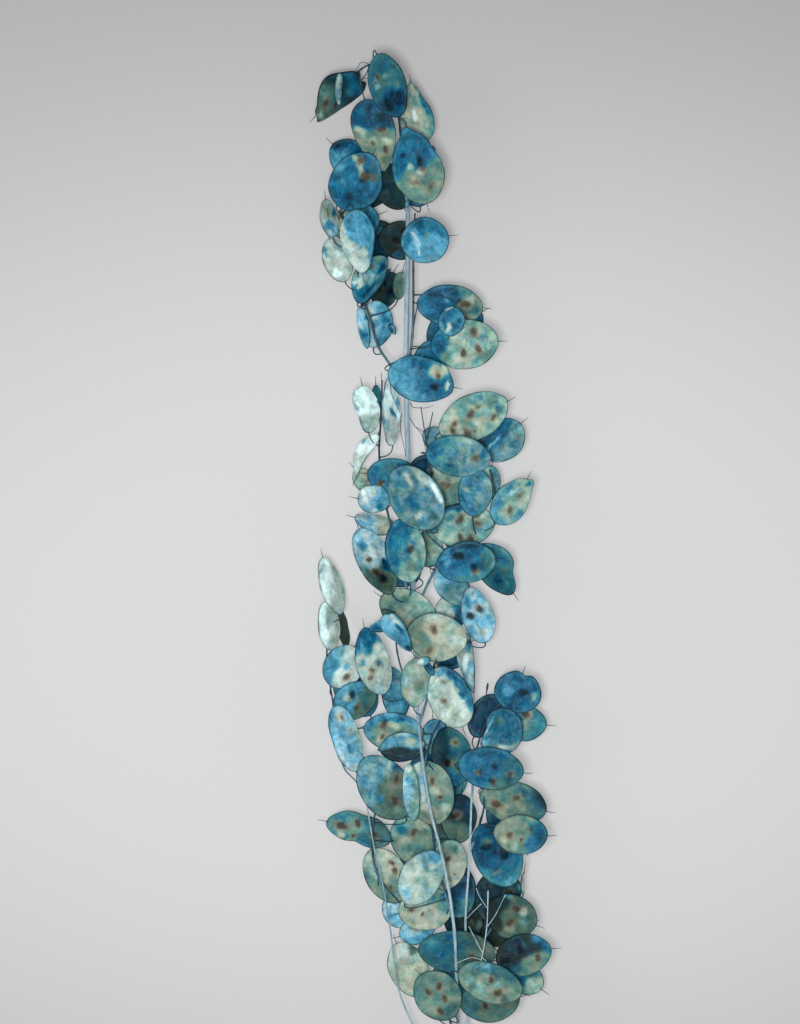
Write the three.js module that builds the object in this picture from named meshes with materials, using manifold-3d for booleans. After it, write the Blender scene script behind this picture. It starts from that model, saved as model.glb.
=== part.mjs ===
/**
 * Honesty (Lunaria annua) seed pod stem: one dried, dyed plant, cut at its foot and laid down.
 *
 * The plant is a stem that forks low down into three limbs, and fifteen sprays that branch off
 * the limbs. A spray is a thin wiry stalk with flat, oval, papery pods, each on a pedicel of its
 * own and each ending in a fine beak. Seeds lift the pods' faces in two rows.
 *
 * Millimetres, +Z up. The plant lies along +Y with its cut foot towards -Y. The origin is at the
 * bottom centre of its box, on the surface that it lies on.
 */
import * as THREE from 'three';
import Module from 'manifold-3d';

const wasm = await Module();
wasm.setup();

// Driving dimensions, in millimetres.
const POD_THICKNESS = 0.9; // the papery partition with its two dry valves
const SEED_RELIEF = 0.45; // how far a seed lifts the face of a valve
const SEED_CIRCLE = 0.5; // radius of the ring of seeds, as a share of the pod's
const POD_POINT = 0.05; // how far an end is drawn out, as a share of the half length
const RIM_POINTS = 10; // corners of the outline
const SEED_POINTS = 5; // corners of the ring of seeds
const BEAK_LENGTH = 6.5; // the dry style past the pod's tip
const BEAK_ROOT = 7; // degrees of the rim on each side of the beak's root
const BEAK_TAPER = 0.45; // thickness at the beak's point, as a share of the pod's
const PEDICEL_HALF = 0.62; // half the side of a pedicel's square section
const PEDICEL_ROOT = 4; // degrees of the rim on each side of the pedicel
const PEDICEL_STEPS = 2;
const PEDICEL_RUN = 9; // length over which a pedicel lines up with its pod
const STALK_FOOT_RADIUS = 1.15; // a spray's stalk where it leaves the limb
const STALK_TIP_RADIUS = 0.75;
const TWIG_RADIUS = 0.7; // bare twigs that have lost their pods
const LIMB_CLEAR = 0.8; // pedicels start this far from a limb's face
const NODE_GAP = 0.35; // clearance left between one node and the next
const LAY_GAP = 2.0; // height between two pods that lie over each other
const SURFACE_GAP = 1.2; // height of the other pods off the surface
const STALK_SIDES = 5;
const STEM_SIDES = 6;

/** The three limbs: x, y, z, radius. The second and third leave the first near its foot. */
const LIMBS = {
  main: [
    [20.5, -108, 2.7, 2.6], [20.5, -66.5, 12.5, 2.4], [19.5, -26.5, 26, 2.2], [18, 10, 39, 2.0],
    [15.5, 50, 48, 1.95], [8.5, 94, 50, 1.9], [0, 130, 48, 1.85], [-6, 168.5, 39, 1.8],
    [-9.5, 206.5, 29, 1.8], [-10.5, 266.5, 26, 1.8], [-14, 333.5, 25, 1.75],
    [-15.5, 400, 25, 1.65], [-15.5, 466.5, 24, 1.55], [-15, 530, 23, 1.35],
  ],
  left: [
    [20, -82, 8.5, 1.5], [5.5, -56.5, 16, 1.5], [-10.5, -20, 27, 1.35], [-21.5, 10, 35, 1.25],
    [-26.5, 46.5, 42, 1.2], [-31.5, 76.5, 44, 1.15], [-36, 96.5, 43, 1.15],
    [-39.5, 116.5, 39, 1.1], [-42.5, 135.5, 33, 1.1],
  ],
  right: [
    [21, -55, 16.5, 1.7], [25, -13.5, 23.5, 1.55], [25, 26.5, 28, 1.45], [23.5, 53.5, 36, 1.35],
    [26, 97.5, 44, 1.3], [28, 136.5, 40, 1.25],
  ],
};

/**
 * The sprays. stalk lists x, y, z along the stalk from the limb to its tip, and twigs are bare
 * side twigs. A pod is x, y of its middle, the heading of its beak in degrees from +X, its
 * length, its width, its roll about its long axis in degrees, and the height that it hangs at.
 * Height 0 is a pod that lies flat on the surface. A form may follow: cup, twist, bow (mm), a
 * notch (degrees of the rim), point and heel (drawing out of the tip and the base), egg (wider
 * towards the tip) and waist (narrower in the middle).
 */
const SPRAYS = {
  crown_spray: {
    colour: '#3c6f8f',
    stalk: [[-15, 529, 23], [-18.5, 566.5, 22], [-22, 596.5, 20], [-29.5, 621.5, 19],
      [-40, 625.5, 19], [-49.5, 620, 19]],
    pods: [
      [-60, 605, 219, 41, 28, -45, 22, { cup: -5, point: 0.12 }], [-26, 544, -60, 33, 25, 20, 12],
      [-52.5, 561.5, 140, 32, 28, 12, 12], [-36.5, 578, -73, 45, 28, 15, 30, { egg: -0.2 }],
      [-9.5, 589.5, 96, 36, 28, 36, 32, { cup: 4, point: 0.2, egg: -0.1 }],
      [-28, 608.5, -70, 43, 29.5, 40, 40],
      [-8.5, 554, -75, 47.5, 34.5, 5, 46, { egg: 0.1, heel: 0.1 }], [-10, 552, 100, 40, 28, 0, 0],
    ],
  },
  upper_left_spray: {
    colour: '#4d83a3',
    stalk: [[-16, 402.5, 27], [-26, 422.5, 30], [-34.5, 436, 29], [-40, 454.5, 28],
      [-45.5, 472, 24], [-49.5, 492, 22], [-54.5, 510, 22], [-59.5, 526.5, 22]],
    pods: [
      [-41.5, 539.5, 20, 37, 24, 35, 8], [-36, 508.5, 10, 31, 28, 20, 8],
      [-49.5, 519.5, 20, 31, 28, 0, 14], [-67.5, 521.5, 100, 25.5, 20, 50, 20],
      [-62, 494, 110, 29.5, 20, 12, 22], [-49, 546, 60, 40, 35, 8, 30],
      [-30, 474.5, 65, 25.5, 20, 20, 12], [-20.5, 477.5, 80, 18.5, 14.5, 58, 16],
      [-40, 481.5, 60, 34.5, 26.5, -40, 28, { cup: 4 }], [-36.5, 451.5, 85, 30.5, 24, 10, 14],
      [-48, 505.5, -82, 40, 25.5, 25, 44, { egg: -0.2, point: 0.15 }], [-43, 507, 120, 38, 28, 0, 0],
    ],
  },
  upper_right_spray: {
    colour: '#356a92',
    stalk: [[-14.5, 420, 25.5], [-11.5, 446.5, 24.5], [-11, 473.5, 24.5], [-11, 492, 24.5],
      [-10.5, 510, 24], [-10, 525.5, 24]],
    twigs: [[[-11.5, 446.5, 24.5], [-9, 460, 27], [-7.5, 467, 28]]],
    pods: [
      [-20, 508, 175, 28, 26.5, 0, 10], [-3.5, 506, 10, 31, 31, 0, 40],
      [13.5, 463, -4, 42.5, 28, 8, 32], [0.5, 428.5, 50, 25.5, 21.5, 0, 30],
      [23, 437, 5, 43.5, 33.5, 0, 40], [14, 451.5, -100, 19.5, 18, 10, 52],
      [-6.5, 413.5, -14, 42.5, 31, 5, 50], [17, 450, 30, 40, 30, 0, 0],
    ],
  },
  mid_left_spray: {
    colour: '#7ea3b4',
    stalk: [[-12.5, 262.5, 26.5], [-18.5, 286.5, 27], [-25.5, 313.5, 27], [-31.5, 340, 25],
      [-34, 366.5, 25], [-32.5, 390, 25], [-32, 413.5, 24]],
    pods: [
      [-35.5, 399.5, 95, 21.5, 16, 60, 18], [-42.5, 394, 98, 30.5, 22.5, 38, 28],
      [-26, 392.5, 92, 42.5, 24, 55, 34],
      [-44, 364.5, 242, 29.5, 16, 45, 28, { bow: 4, egg: -0.3, point: 0.15 }],
      [-44, 346.5, 130, 18.5, 14.5, 0, 18], [-24.5, 348.5, 172, 33.5, 26, 0, 32],
      [-36.5, 317.5, 165, 28, 20, 50, 22], [-37.5, 333.5, 175, 25.5, 22.5, -18, 32],
      [-36.5, 292.5, 117, 46.5, 28, 30, 38], [-16.5, 300, 98, 40.5, 28, 8, 48],
      [-24, 290, 150, 38, 28, 0, 0],
    ],
  },
  mid_right_spray: {
    colour: '#2f6f96',
    stalk: [[-12.5, 302.5, 26], [-4, 330, 28], [0, 352, 28], [8, 368, 30], [22.5, 375.5, 30],
      [37.5, 372, 30]],
    twigs: [[[0, 352, 28], [-2.5, 372, 29], [-6, 395.5, 30]], [[-2.5, 372, 29], [2, 392, 32]]],
    pods: [
      [5.5, 373.5, 150, 21.5, 17.5, 0, 22], [-4.5, 358.5, 60, 26.5, 22.5, 0, 18],
      [48.5, 373.5, 42, 32, 28, 0, 26], [29, 388.5, 25, 47.5, 30.5, 10, 36],
      [10.5, 344.5, -70, 32, 29.5, 0, 24], [18.5, 362.5, -6, 41.5, 28, 8, 48],
      [-9.5, 334.5, 125, 45.5, 34.5, 5, 56], [27, 375, 15, 40, 28, 0, 0],
    ],
  },
  outer_right_spray: {
    colour: '#3f7da6',
    stalk: [[-10, 258.5, 27.5], [0, 280, 28.5], [12, 301.5, 29], [29.5, 308, 29],
      [40.5, 318.5, 30], [43.5, 337.5, 30], [40, 353.5, 30]],
    pods: [
      [38, 344.5, 75, 24, 20, 20, 26], [30, 338.5, 85, 30.5, 24, 8, 34],
      [21.5, 316.5, 4, 42, 29.5, 0, 32], [54, 332, 55, 34, 25, 15, 36, { point: 0.18 }],
      [15, 276, -50, 29.5, 21.5, 0, 24], [43.5, 288.5, -52, 36, 27.5, -20, 34, { cup: 3, point: 0.22 }],
      [24, 292, 6, 38, 28, 0, 46], [-1, 300.5, -85, 24, 20, 0, 20],
    ],
  },
  centre_spray: {
    colour: '#7f9f9a',
    stalk: [[-7.5, 183, 35], [-2, 200, 31], [2.5, 221.5, 30], [10, 241.5, 30], [18.5, 258.5, 30],
      [24, 273.5, 30]],
    pods: [
      [16.5, 230, 35, 26.5, 18.5, 0, 18], [14.5, 258.5, 60, 28, 22.5, 0, 22],
      [24.5, 226.5, -80, 37.5, 20, 55, 28, { egg: -0.3, point: 0.2 }],
      [31, 256.5, 107, 37.5, 25.5, 32, 34, { egg: -0.12 }],
      [4, 242, 170, 38.5, 32.5, 0, 42], [-9.5, 212, 85, 32, 22.5, 30, 36],
      [13.5, 202, -68, 41.5, 29.5, 15, 42],
    ],
  },
  inner_left_spray: {
    colour: '#44749a',
    stalk: [[-9, 197, 32], [-14, 208, 29], [-20, 223.5, 28], [-22.5, 240, 28], [-18.5, 258.5, 28]],
    pods: [
      [-23.5, 204, 100, 34.5, 24, 40, 18], [-14.5, 258.5, 150, 40, 29.5, 0, 32],
      [-24.5, 244, -40, 32, 22.5, 35, 42, { twist: 3 }], [-38, 226, 105, 44, 25.5, 25, 38, { egg: -0.12 }],
    ],
  },
  outer_left_spray: {
    colour: '#a9bcb8',
    stalk: [[-42.5, 135, 33], [-49.5, 145.5, 32], [-57.5, 154.5, 30], [-62, 176.5, 28],
      [-65.5, 201.5, 26], [-68.5, 221.5, 26], [-68.5, 240, 26], [-64.5, 258.5, 26]],
    pods: [
      [-60, 252.5, 110, 37.5, 20, 62, 12], [-66, 276, 107, 38.5, 22.5, 48, 28],
      [-68, 249.5, 98, 32, 21.5, 46, 24], [-58, 222, 60, 29.5, 26.5, 0, 24],
      [-50.5, 199.5, 30, 30.5, 25.5, 10, 30], [-56.5, 174.5, 108, 44, 24, 35, 40],
      [-50, 205, 120, 38, 28, 0, 0],
    ],
  },
  lower_left_spray: {
    colour: '#5f9099',
    stalk: [[-31.5, 76.5, 43], [-37, 90, 38], [-38.5, 108, 33], [-36, 125.5, 31],
      [-30.5, 133.5, 31]],
    pods: [
      [-22.5, 56, -50, 22.5, 17.5, 0, 16], [-29.5, 82, 120, 38.5, 28, 0, 24],
      [-47.2, 112.8, 164, 43, 23.5, 0, 26, { bow: 1.5, waist: 0.14 }], [-30, 142, 125, 46, 34, 0, 40],
    ],
  },
  lower_mid_spray: {
    colour: '#51839a',
    stalk: [[-4, 156, 41], [-1.5, 166.5, 36], [1.5, 176.5, 31], [6.5, 185.5, 30]],
    pods: [
      [-18.5, 168.5, 5, 29, 20, 0, 34], [-24.5, 178.5, 175, 38.5, 26, 8, 28],
      [12, 144.5, 70, 30.5, 25.5, 0, 20], [4.5, 173.5, 100, 25.5, 20, 0, 22],
      [14.5, 162, 100, 38.5, 28, 15, 32], [-0.5, 138.5, -75, 42, 33.5, 0, 35],
      [2, 152, 40, 38, 28, 0, 0],
    ],
  },
  low_centre_spray: {
    colour: '#7b9c96',
    stalk: [[14.5, 56.5, 45], [9.5, 73.5, 37], [4, 93.5, 31], [1.5, 113.5, 28]],
    pods: [
      [4.5, 113.5, 160, 28, 21.5, 0, 14], [19.5, 120, 85, 32, 24, 0, 24],
      [-10.5, 104.5, 130, 36, 29.5, 0, 20], [12, 89.5, 75, 33.5, 25.5, 0, 28],
      [20.5, 70, 85, 33.5, 21.5, 0, 18], [-2.5, 60.5, 190, 36, 29.5, 0, 30],
      [-6, 82, 58, 38.5, 28, 5, 40], [-8.5, 44.5, 200, 24, 18.5, 0, 18],
      [-2, 88, 200, 40, 29, 0, 0],
    ],
  },
  right_spray: {
    colour: '#2c5f8a',
    stalk: [[28, 136, 40], [29.5, 158.5, 34], [33.5, 174.5, 30], [40, 189.5, 30],
      [48, 198.5, 32]],
    twigs: [[[33.5, 174.5, 30], [35.5, 190, 38], [38.5, 211.5, 40]]],
    pods: [
      [37.5, 188.5, 60, 30.5, 22.5, 0, 22], [63.5, 184, -5, 28, 24, 0, 28],
      [58.5, 205.5, 40, 32, 28, 0, 38, { notch: 60 }], [48, 179.5, -100, 30.5, 29.5, 0, 42],
    ],
  },
  right_lower_spray: {
    colour: '#4a7f97',
    stalk: [[26.5, 100, 44], [32, 114.5, 40], [36, 130, 38], [34.5, 144, 38]],
    pods: [
      [44.5, 97.5, -62, 44, 32, 0, 34], [55.5, 132, -15, 44, 28.5, 0, 38],
      [60, 111.5, -3, 34.5, 26.5, 0, 48], [40, 155.5, -8, 42, 28.5, 0, 50],
      [54, 117, -62, 40, 29, 0, 0],
    ],
  },
  base_right_spray: {
    colour: '#426a6a',
    stalk: [[24.5, 22, 30.5], [33.5, 36.5, 32], [42.5, 50, 32], [48, 66.5, 30], [52, 80, 30]],
    pods: [
      [22.5, 52.5, 100, 33.5, 26.5, 0, 14], [45.5, 68.5, 70, 37.5, 30.5, 0, 18],
      [62, 77.5, 88, 20, 14.5, 68, 26], [54, 56, -20, 34.5, 29.5, 0, 26],
      [64.5, 12.5, -35, 24, 21.5, 0, 22], [62, 31, 12, 36, 28, 0, 36],
      [18, 32, 175, 49.5, 29.5, 0, 36.5], [48, 45, 10, 38, 28, 0, 0],
    ],
  },
  base_spray: {
    colour: '#8da4a0',
    stalk: [[20, -40, 21.5], [15, -20, 29], [11, -5.5, 31], [12.5, 10, 31]],
    pods: [
      [-14, 18.5, 115, 38.5, 26.5, 0, 22], [40, 0, 8, 38.5, 29.5, 0, 38],
      [5, 4.5, 130, 34.5, 30.5, 0, 46], [39.5, 14, -18, 42.5, 26.5, 0, 54],
      [14, 8, 60, 38, 28, 0, 0],
    ],
  },
};

/** A bare twig whose pods have dropped, in front of the low right pods. */
const BARE_TWIG = [
  [[24.5, -8, 24.5], [30, 12, 41], [34.5, 28.5, 49], [38.5, 50, 49], [39.5, 74, 46]],
  [[39, 62, 47.5], [33, 70, 49], [31, 76, 49]],
  [[38.5, 50, 49], [44, 60, 50], [54, 74, 50]],
  [[34.5, 28.5, 49], [28, 33, 50], [19.5, 33, 51]],
  [[36, 36, 49], [30, 44, 50], [25.5, 52, 50]],
];

const radians = (degrees) => degrees * Math.PI / 180;

/** A repeatable draw between -1 and 1 for pod number `index` and purpose `salt`. */
function draw(index, salt) {
  const value = Math.sin(index * 12.9898 + salt * 78.233) * 43758.5453;
  return 2 * (value - Math.floor(value)) - 1;
}

/** One flat oval pod: its frame in space and the form of its middle surface. */
class Pod {
  constructor(row, spray, index) {
    const [x, y, heading, length, width, roll, height, form = {}] = row;
    const flat = height === 0;
    const sway = (salt, amount) => (flat ? 0 : draw(index, salt) * amount);
    this.spray = spray;
    this.index = index;
    this.flat = flat;
    this.halfLength = length / 2;
    this.halfWidth = width / 2;
    this.wish = height;
    this.cup = form.cup ?? sway(1, 1.0);
    this.bend = sway(2, 1.3);
    this.twist = form.twist ?? sway(3, 1.2);
    this.bow = form.bow ?? 0;
    this.notch = form.notch;
    this.tip = form.point ?? POD_POINT;
    this.heel = form.heel ?? POD_POINT;
    this.egg = form.egg ?? 0;
    this.waist = form.waist ?? 0;
    const turn = radians(heading);
    const pitch = radians(sway(4, 6));
    const rolled = radians(roll + (flat ? 0 : sway(5, 5)));
    this.along = new THREE.Vector3(
      Math.cos(turn) * Math.cos(pitch), Math.sin(turn) * Math.cos(pitch), Math.sin(pitch));
    const level = new THREE.Vector3(-Math.sin(turn), Math.cos(turn), 0);
    const up = this.along.clone().cross(level);
    this.across = level.multiplyScalar(Math.cos(rolled)).addScaledVector(up, Math.sin(rolled));
    this.normal = this.along.clone().cross(this.across);
    this.centre = new THREE.Vector3(x, y, flat ? POD_THICKNESS / 2 : height);
  }

  /** Lift of the middle surface off its plane: cupped across, bent along and twisted. */
  lift(s, t) {
    return this.cup * (t * t - 0.4) + this.bend * (s * s - 0.4) + this.twist * s * t;
  }

  /** The point at shares s and t of the half length and half width, w above the surface. */
  point(s, t, w = 0) {
    return this.centre.clone()
      .addScaledVector(this.along, s * this.halfLength)
      .addScaledVector(this.across, t * this.halfWidth + this.bow * (s * s - 0.5))
      .addScaledVector(this.normal, this.lift(s, t) + w);
  }

  /** Shares s and t of the rim at an angle, with its ends drawn out, egg, waist and any notch. */
  rim(angle) {
    const c = Math.cos(angle);
    let scale = 1 + (c > 0 ? this.tip : this.heel) * c ** 8;
    if (this.notch !== undefined) {
      const off = Math.abs(((angle * 180 / Math.PI - this.notch + 540) % 360) - 180);
      scale -= 0.16 * Math.exp(-((off / 18) ** 2));
    }
    const girth = 1 + this.egg * c - this.waist * Math.exp(-((c / 0.4) ** 2));
    return [c * scale, Math.sin(angle) * scale * girth];
  }

  /** Height of the surface over a point of the plan, or null outside the outline. */
  heightAt(x, y, centreZ) {
    const dx = x - this.centre.x;
    const dy = y - this.centre.y;
    const det = this.along.x * this.across.y - this.along.y * this.across.x;
    const u = (dx * this.across.y - dy * this.across.x) / det / this.halfLength;
    const v = (dy * this.along.x - dx * this.along.y) / det / this.halfWidth;
    if (u * u + v * v > 1.08) return null;
    return centreZ + u * this.halfLength * this.along.z + v * this.halfWidth * this.across.z
      + this.lift(u, v) * this.normal.z;
  }

  /** Sample points of the surface: the middle and three rings. */
  samples() {
    const list = [this.point(0, 0)];
    for (const share of [0.35, 0.7, 1.02]) {
      for (let k = 0; k < 16; k += 1) {
        const angle = k * Math.PI / 8;
        list.push(this.point(share * Math.cos(angle), share * Math.sin(angle)));
      }
    }
    return list;
  }
}

/** A closed mesh as a solid. */
function solid(positions, triangles) {
  return new wasm.Manifold(new wasm.Mesh({
    numProp: 3,
    vertProperties: new Float32Array(positions),
    triVerts: new Uint32Array(triangles),
  }));
}

/** The radius at a share of the way through a list of radii. */
function radiusAt(radii, share) {
  const reach = share * (radii.length - 1);
  const low = Math.min(Math.floor(reach), radii.length - 2);
  return radii[low] + (radii[low + 1] - radii[low]) * (reach - low);
}

/** A capped tube along a curve, with its radius run from the first to the last of `radii`. */
function tube(curve, radii, sides, steps, swell = 0) {
  const frames = curve.computeFrenetFrames(steps, false);
  const positions = [];
  const triangles = [];
  for (let i = 0; i <= steps; i += 1) {
    const centre = curve.getPointAt(i / steps);
    const radius = radiusAt(radii, i / steps) + swell;
    for (let k = 0; k < sides; k += 1) {
      const angle = 2 * Math.PI * k / sides;
      const p = centre.clone()
        .addScaledVector(frames.normals[i], radius * Math.cos(angle))
        .addScaledVector(frames.binormals[i], radius * Math.sin(angle));
      positions.push(p.x, p.y, p.z);
    }
  }
  for (let i = 0; i < steps; i += 1) {
    for (let k = 0; k < sides; k += 1) {
      const a = i * sides + k;
      const b = i * sides + (k + 1) % sides;
      triangles.push(a, b, b + sides, a, b + sides, a + sides);
    }
  }
  for (let k = 1; k < sides - 1; k += 1) {
    const end = steps * sides;
    triangles.push(0, k + 1, k, end, end + k, end + k + 1);
  }
  return solid(positions, triangles);
}

/**
 * A pod's blade with its beak and its pedicel. Both faces share one pattern of triangles, and
 * seeds lift the inner ring. The tip's corner is drawn out into the beak, and two corners at the
 * base carry the pedicel, a square tube along its curve back to the stalk.
 */
function blade(pod, pedicel, swell = 0) {
  const positions = [];
  const triangles = [];
  const half = POD_THICKNESS / 2 + swell;
  const grow = 1 + swell / pod.halfWidth;
  const rows = [[0, 0, 0]];
  for (let k = 0; k < SEED_POINTS; k += 1) {
    const angle = 2 * Math.PI * k / SEED_POINTS;
    const seed = draw(pod.index, 10 + k) > -0.4 ? SEED_RELIEF : 0.1;
    rows.push([SEED_CIRCLE * Math.cos(angle), SEED_CIRCLE * Math.sin(angle), seed]);
  }
  const beak = 1 + (BEAK_LENGTH + swell) / pod.halfLength;
  const tip = rows.push([beak, 0, -half * (1 - BEAK_TAPER)]) - 1;
  // The rim's corners, in degrees, with two at the pedicel and two at the beak's root.
  const corners = [0, BEAK_ROOT];
  for (let k = 1; k < RIM_POINTS; k += 1) {
    const angle = 360 * k / RIM_POINTS;
    if (angle === 180) corners.push(180 - PEDICEL_ROOT, 180 + PEDICEL_ROOT);
    else corners.push(angle);
  }
  corners.push(360 - BEAK_ROOT);
  for (const angle of corners.slice(1)) {
    const [s, t] = pod.rim(radians(angle));
    rows.push([s * grow, t * grow, 0]);
  }
  for (const side of [1, -1]) {
    for (const [s, t, seed] of rows) {
      const relief = side < 0 && pod.flat ? 0 : seed;
      const p = pod.point(Math.min(s, 1.1), t, side * (half + relief));
      if (s > 1.1) p.addScaledVector(pod.along, (s - 1.1) * pod.halfLength);
      positions.push(p.x, p.y, p.z);
    }
  }
  const count = rows.length;
  const face = [];
  for (let j = 0; j < SEED_POINTS; j += 1) face.push([0, 1 + j, 1 + (j + 1) % SEED_POINTS]);
  // Stitch the rim to the ring of seeds: each rim edge goes to the nearest corner of the ring.
  let seat = 0;
  const seatAngle = (j) => 360 * j / SEED_POINTS;
  corners.forEach((angle, k) => {
    const next = k + 1 < corners.length ? corners[k + 1] : 360;
    const middle = (angle + next) / 2;
    while (Math.abs(middle - seatAngle(seat)) > Math.abs(middle - seatAngle(seat + 1))) {
      face.push([1 + seat % SEED_POINTS, tip + k, 1 + (seat + 1) % SEED_POINTS]);
      seat += 1;
    }
    face.push([1 + seat % SEED_POINTS, tip + k, tip + (k + 1) % corners.length]);
  });
  for (const [a, b, c] of face) triangles.push(a, b, c, count + a, count + c, count + b);
  const root = tip + corners.indexOf(180 - PEDICEL_ROOT);
  corners.forEach((_, k) => {
    const a = tip + k;
    const b = tip + (k + 1) % corners.length;
    if (a !== root) triangles.push(a, count + b, b, a, count + a, count + b);
  });
  // The pedicel: rings of four round its curve, from the base's corners to the stalk.
  let last = [root, root + 1, count + root + 1, count + root];
  let across = pod.across.clone();
  for (let i = 1; i <= PEDICEL_STEPS; i += 1) {
    const share = 1 - i / PEDICEL_STEPS;
    const centre = pedicel.getPoint(share);
    const tangent = pedicel.getTangent(share);
    across = across.addScaledVector(tangent, -across.dot(tangent)).normalize();
    const up = tangent.clone().cross(across);
    const first = positions.length / 3;
    for (const [a, u] of [[1, 1], [-1, 1], [-1, -1], [1, -1]]) {
      const p = centre.clone().addScaledVector(across, a * (PEDICEL_HALF + swell))
        .addScaledVector(up, u * (PEDICEL_HALF + swell));
      positions.push(p.x, p.y, p.z);
    }
    const next = [first, first + 1, first + 2, first + 3];
    next.forEach((n, k) => {
      const m = (k + 1) % 4;
      triangles.push(last[k], n, next[m], last[k], next[m], last[m]);
    });
    last = next;
  }
  triangles.push(last[0], last[3], last[2], last[0], last[2], last[1]);
  return solid(positions, triangles);
}

const vector = ([x, y, z]) => new THREE.Vector3(x, y, z);
const curveOf = (points) => new THREE.CatmullRomCurve3(points.map(vector), false, 'centripetal');

/** The limbs' height samples, every few millimetres, as [x, y, z, radius]. */
const limbCurves = Object.values(LIMBS).map((rows) => ({
  curve: curveOf(rows), radii: rows.map((row) => row[3]),
}));
const limbSamples = limbCurves.flatMap(({ curve, radii }) => {
  const steps = Math.ceil(curve.getLength() / 3);
  return Array.from({ length: steps + 1 }, (_, i) => {
    const p = curve.getPointAt(i / steps);
    return [p.x, p.y, p.z, radiusAt(radii, i / steps)];
  });
});

/**
 * Lays the pods from the lowest up. Each hangs at its own height, or just clear of the pods and
 * limbs that it crosses in plan and is meant to lie over.
 */
function lay(pods) {
  const laid = [];
  for (const pod of [...pods].sort((a, b) => a.wish - b.wish || a.index - b.index)) {
    if (!pod.flat) {
      let raise = 0;
      const own = pod.samples();
      for (const other of laid) {
        if (Math.hypot(other.centre.x - pod.centre.x, other.centre.y - pod.centre.y) > 52) continue;
        const gap = LAY_GAP / Math.min(pod.normal.z, other.normal.z);
        for (const p of own) {
          const below = other.heightAt(p.x, p.y, other.centre.z);
          if (below !== null) raise = Math.max(raise, below + gap - p.z);
        }
        for (const p of other.samples()) {
          const above = pod.heightAt(p.x, p.y, pod.centre.z);
          if (above !== null) raise = Math.max(raise, p.z + gap - above);
        }
      }
      raise = Math.max(raise, ...own.map((p) => SURFACE_GAP - p.z));
      for (const [x, y, z, radius] of limbSamples) {
        if (z > pod.wish) continue;
        const above = pod.heightAt(x, y, pod.centre.z);
        if (above !== null) raise = Math.max(raise, z + radius + 1 - above);
      }
      pod.centre.z += raise;
    }
    laid.push(pod);
  }
}

let serial = 0;
const allPods = Object.entries(SPRAYS).flatMap(([name, spray]) => {
  spray.podList = spray.pods.map((row) => {
    serial += 1;
    return new Pod(row, name, serial);
  });
  return spray.podList;
});
lay(allPods);

/** The stalk's curve as the straight steps that its tube is made of. */
function stalkSteps(spray) {
  const curve = curveOf(spray.stalk);
  const steps = Math.max(4, Math.round(curve.getLength() / 14));
  return { curve, steps, points: curve.getSpacedPoints(steps) };
}

/** The pedicel's curve: from the nearest place on the stalk, round into line with the pod. */
function pedicelCurve(pod, points) {
  const base = pod.point(-1, 0);
  const reach = base.clone().addScaledVector(pod.along, -PEDICEL_RUN);
  let nearest = null;
  let best = Infinity;
  for (let i = 0; i < points.length - 1; i += 1) {
    for (const share of [0.1, 0.3, 0.5, 0.7, 0.85]) {
      const p = points[i].clone().lerp(points[i + 1], share);
      const inLimb = limbSamples.some(([x, y, z, radius]) => (
        Math.hypot(p.x - x, p.y - y, p.z - z) < radius + LIMB_CLEAR));
      const distance = p.distanceTo(reach);
      if (!inLimb && distance < best) {
        best = distance;
        nearest = p;
      }
    }
  }
  const run = Math.min(PEDICEL_RUN, nearest.distanceTo(base) * 0.5);
  const bendPoint = base.clone().addScaledVector(pod.along, -run);
  return new THREE.QuadraticBezierCurve3(nearest, bendPoint, base);
}

/** A spray in one piece, its stalk, bare twigs and pods, grown by `swell` all round. */
function spraySolid(spray, swell = 0) {
  const { curve, steps, points } = stalkSteps(spray);
  let all = tube(curve, [STALK_FOOT_RADIUS, STALK_TIP_RADIUS], STALK_SIDES, steps, swell);
  for (const twig of spray.twigs ?? []) {
    all = all.add(tube(curveOf(twig), [TWIG_RADIUS, TWIG_RADIUS * 0.8], 3, 3, swell));
  }
  for (const pod of spray.podList) all = all.add(blade(pod, pedicelCurve(pod, points), swell));
  return all;
}

/** The largest body of a solid; scraps that a cut has freed are dropped. */
function largest(body) {
  return body.decompose().reduce((a, b) => (a.volume() > b.volume() ? a : b));
}

/** A solid as a three.js geometry, moved by `shift`. */
function geometryOf(body, shift) {
  const mesh = body.getMesh();
  const geometry = new THREE.BufferGeometry();
  geometry.setAttribute('position', new THREE.BufferAttribute(mesh.vertProperties.slice(), 3));
  geometry.setIndex(new THREE.BufferAttribute(mesh.triVerts.slice(), 1));
  geometry.translate(...shift);
  geometry.computeVertexNormals();
  return geometry;
}

// The limbs are one plant, joined where they fork.
const limbSolid = (swell) => limbCurves
  .map(({ curve, radii }) => tube(curve, radii, STEM_SIDES, Math.round(curve.getLength() / 26), swell))
  .reduce((a, b) => a.add(b));
const stem = limbSolid(0);
const stemRoom = limbSolid(NODE_GAP);

// Bare twig, kept clear of the limb that it leaves.
const twigSolid = (swell) => BARE_TWIG
  .map((rows, i) => tube(curveOf(rows), [i ? TWIG_RADIUS * 0.8 : TWIG_RADIUS, 0.5], 3, i ? 3 : 7, swell))
  .reduce((a, b) => a.add(b));

// Each spray gives way to the limbs, the bare twig and the sprays before it.
const twig = largest(twigSolid(0).subtract(stemRoom));
const bodies = new Map([['stem', stem], ['bare_twig', twig]]);
const rooms = [stemRoom, twigSolid(NODE_GAP)];
for (const [name, spray] of Object.entries(SPRAYS)) {
  bodies.set(name, largest(rooms.reduce((body, room) => body.subtract(room), spraySolid(spray))));
  rooms.push(spraySolid(spray, NODE_GAP));
}

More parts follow.
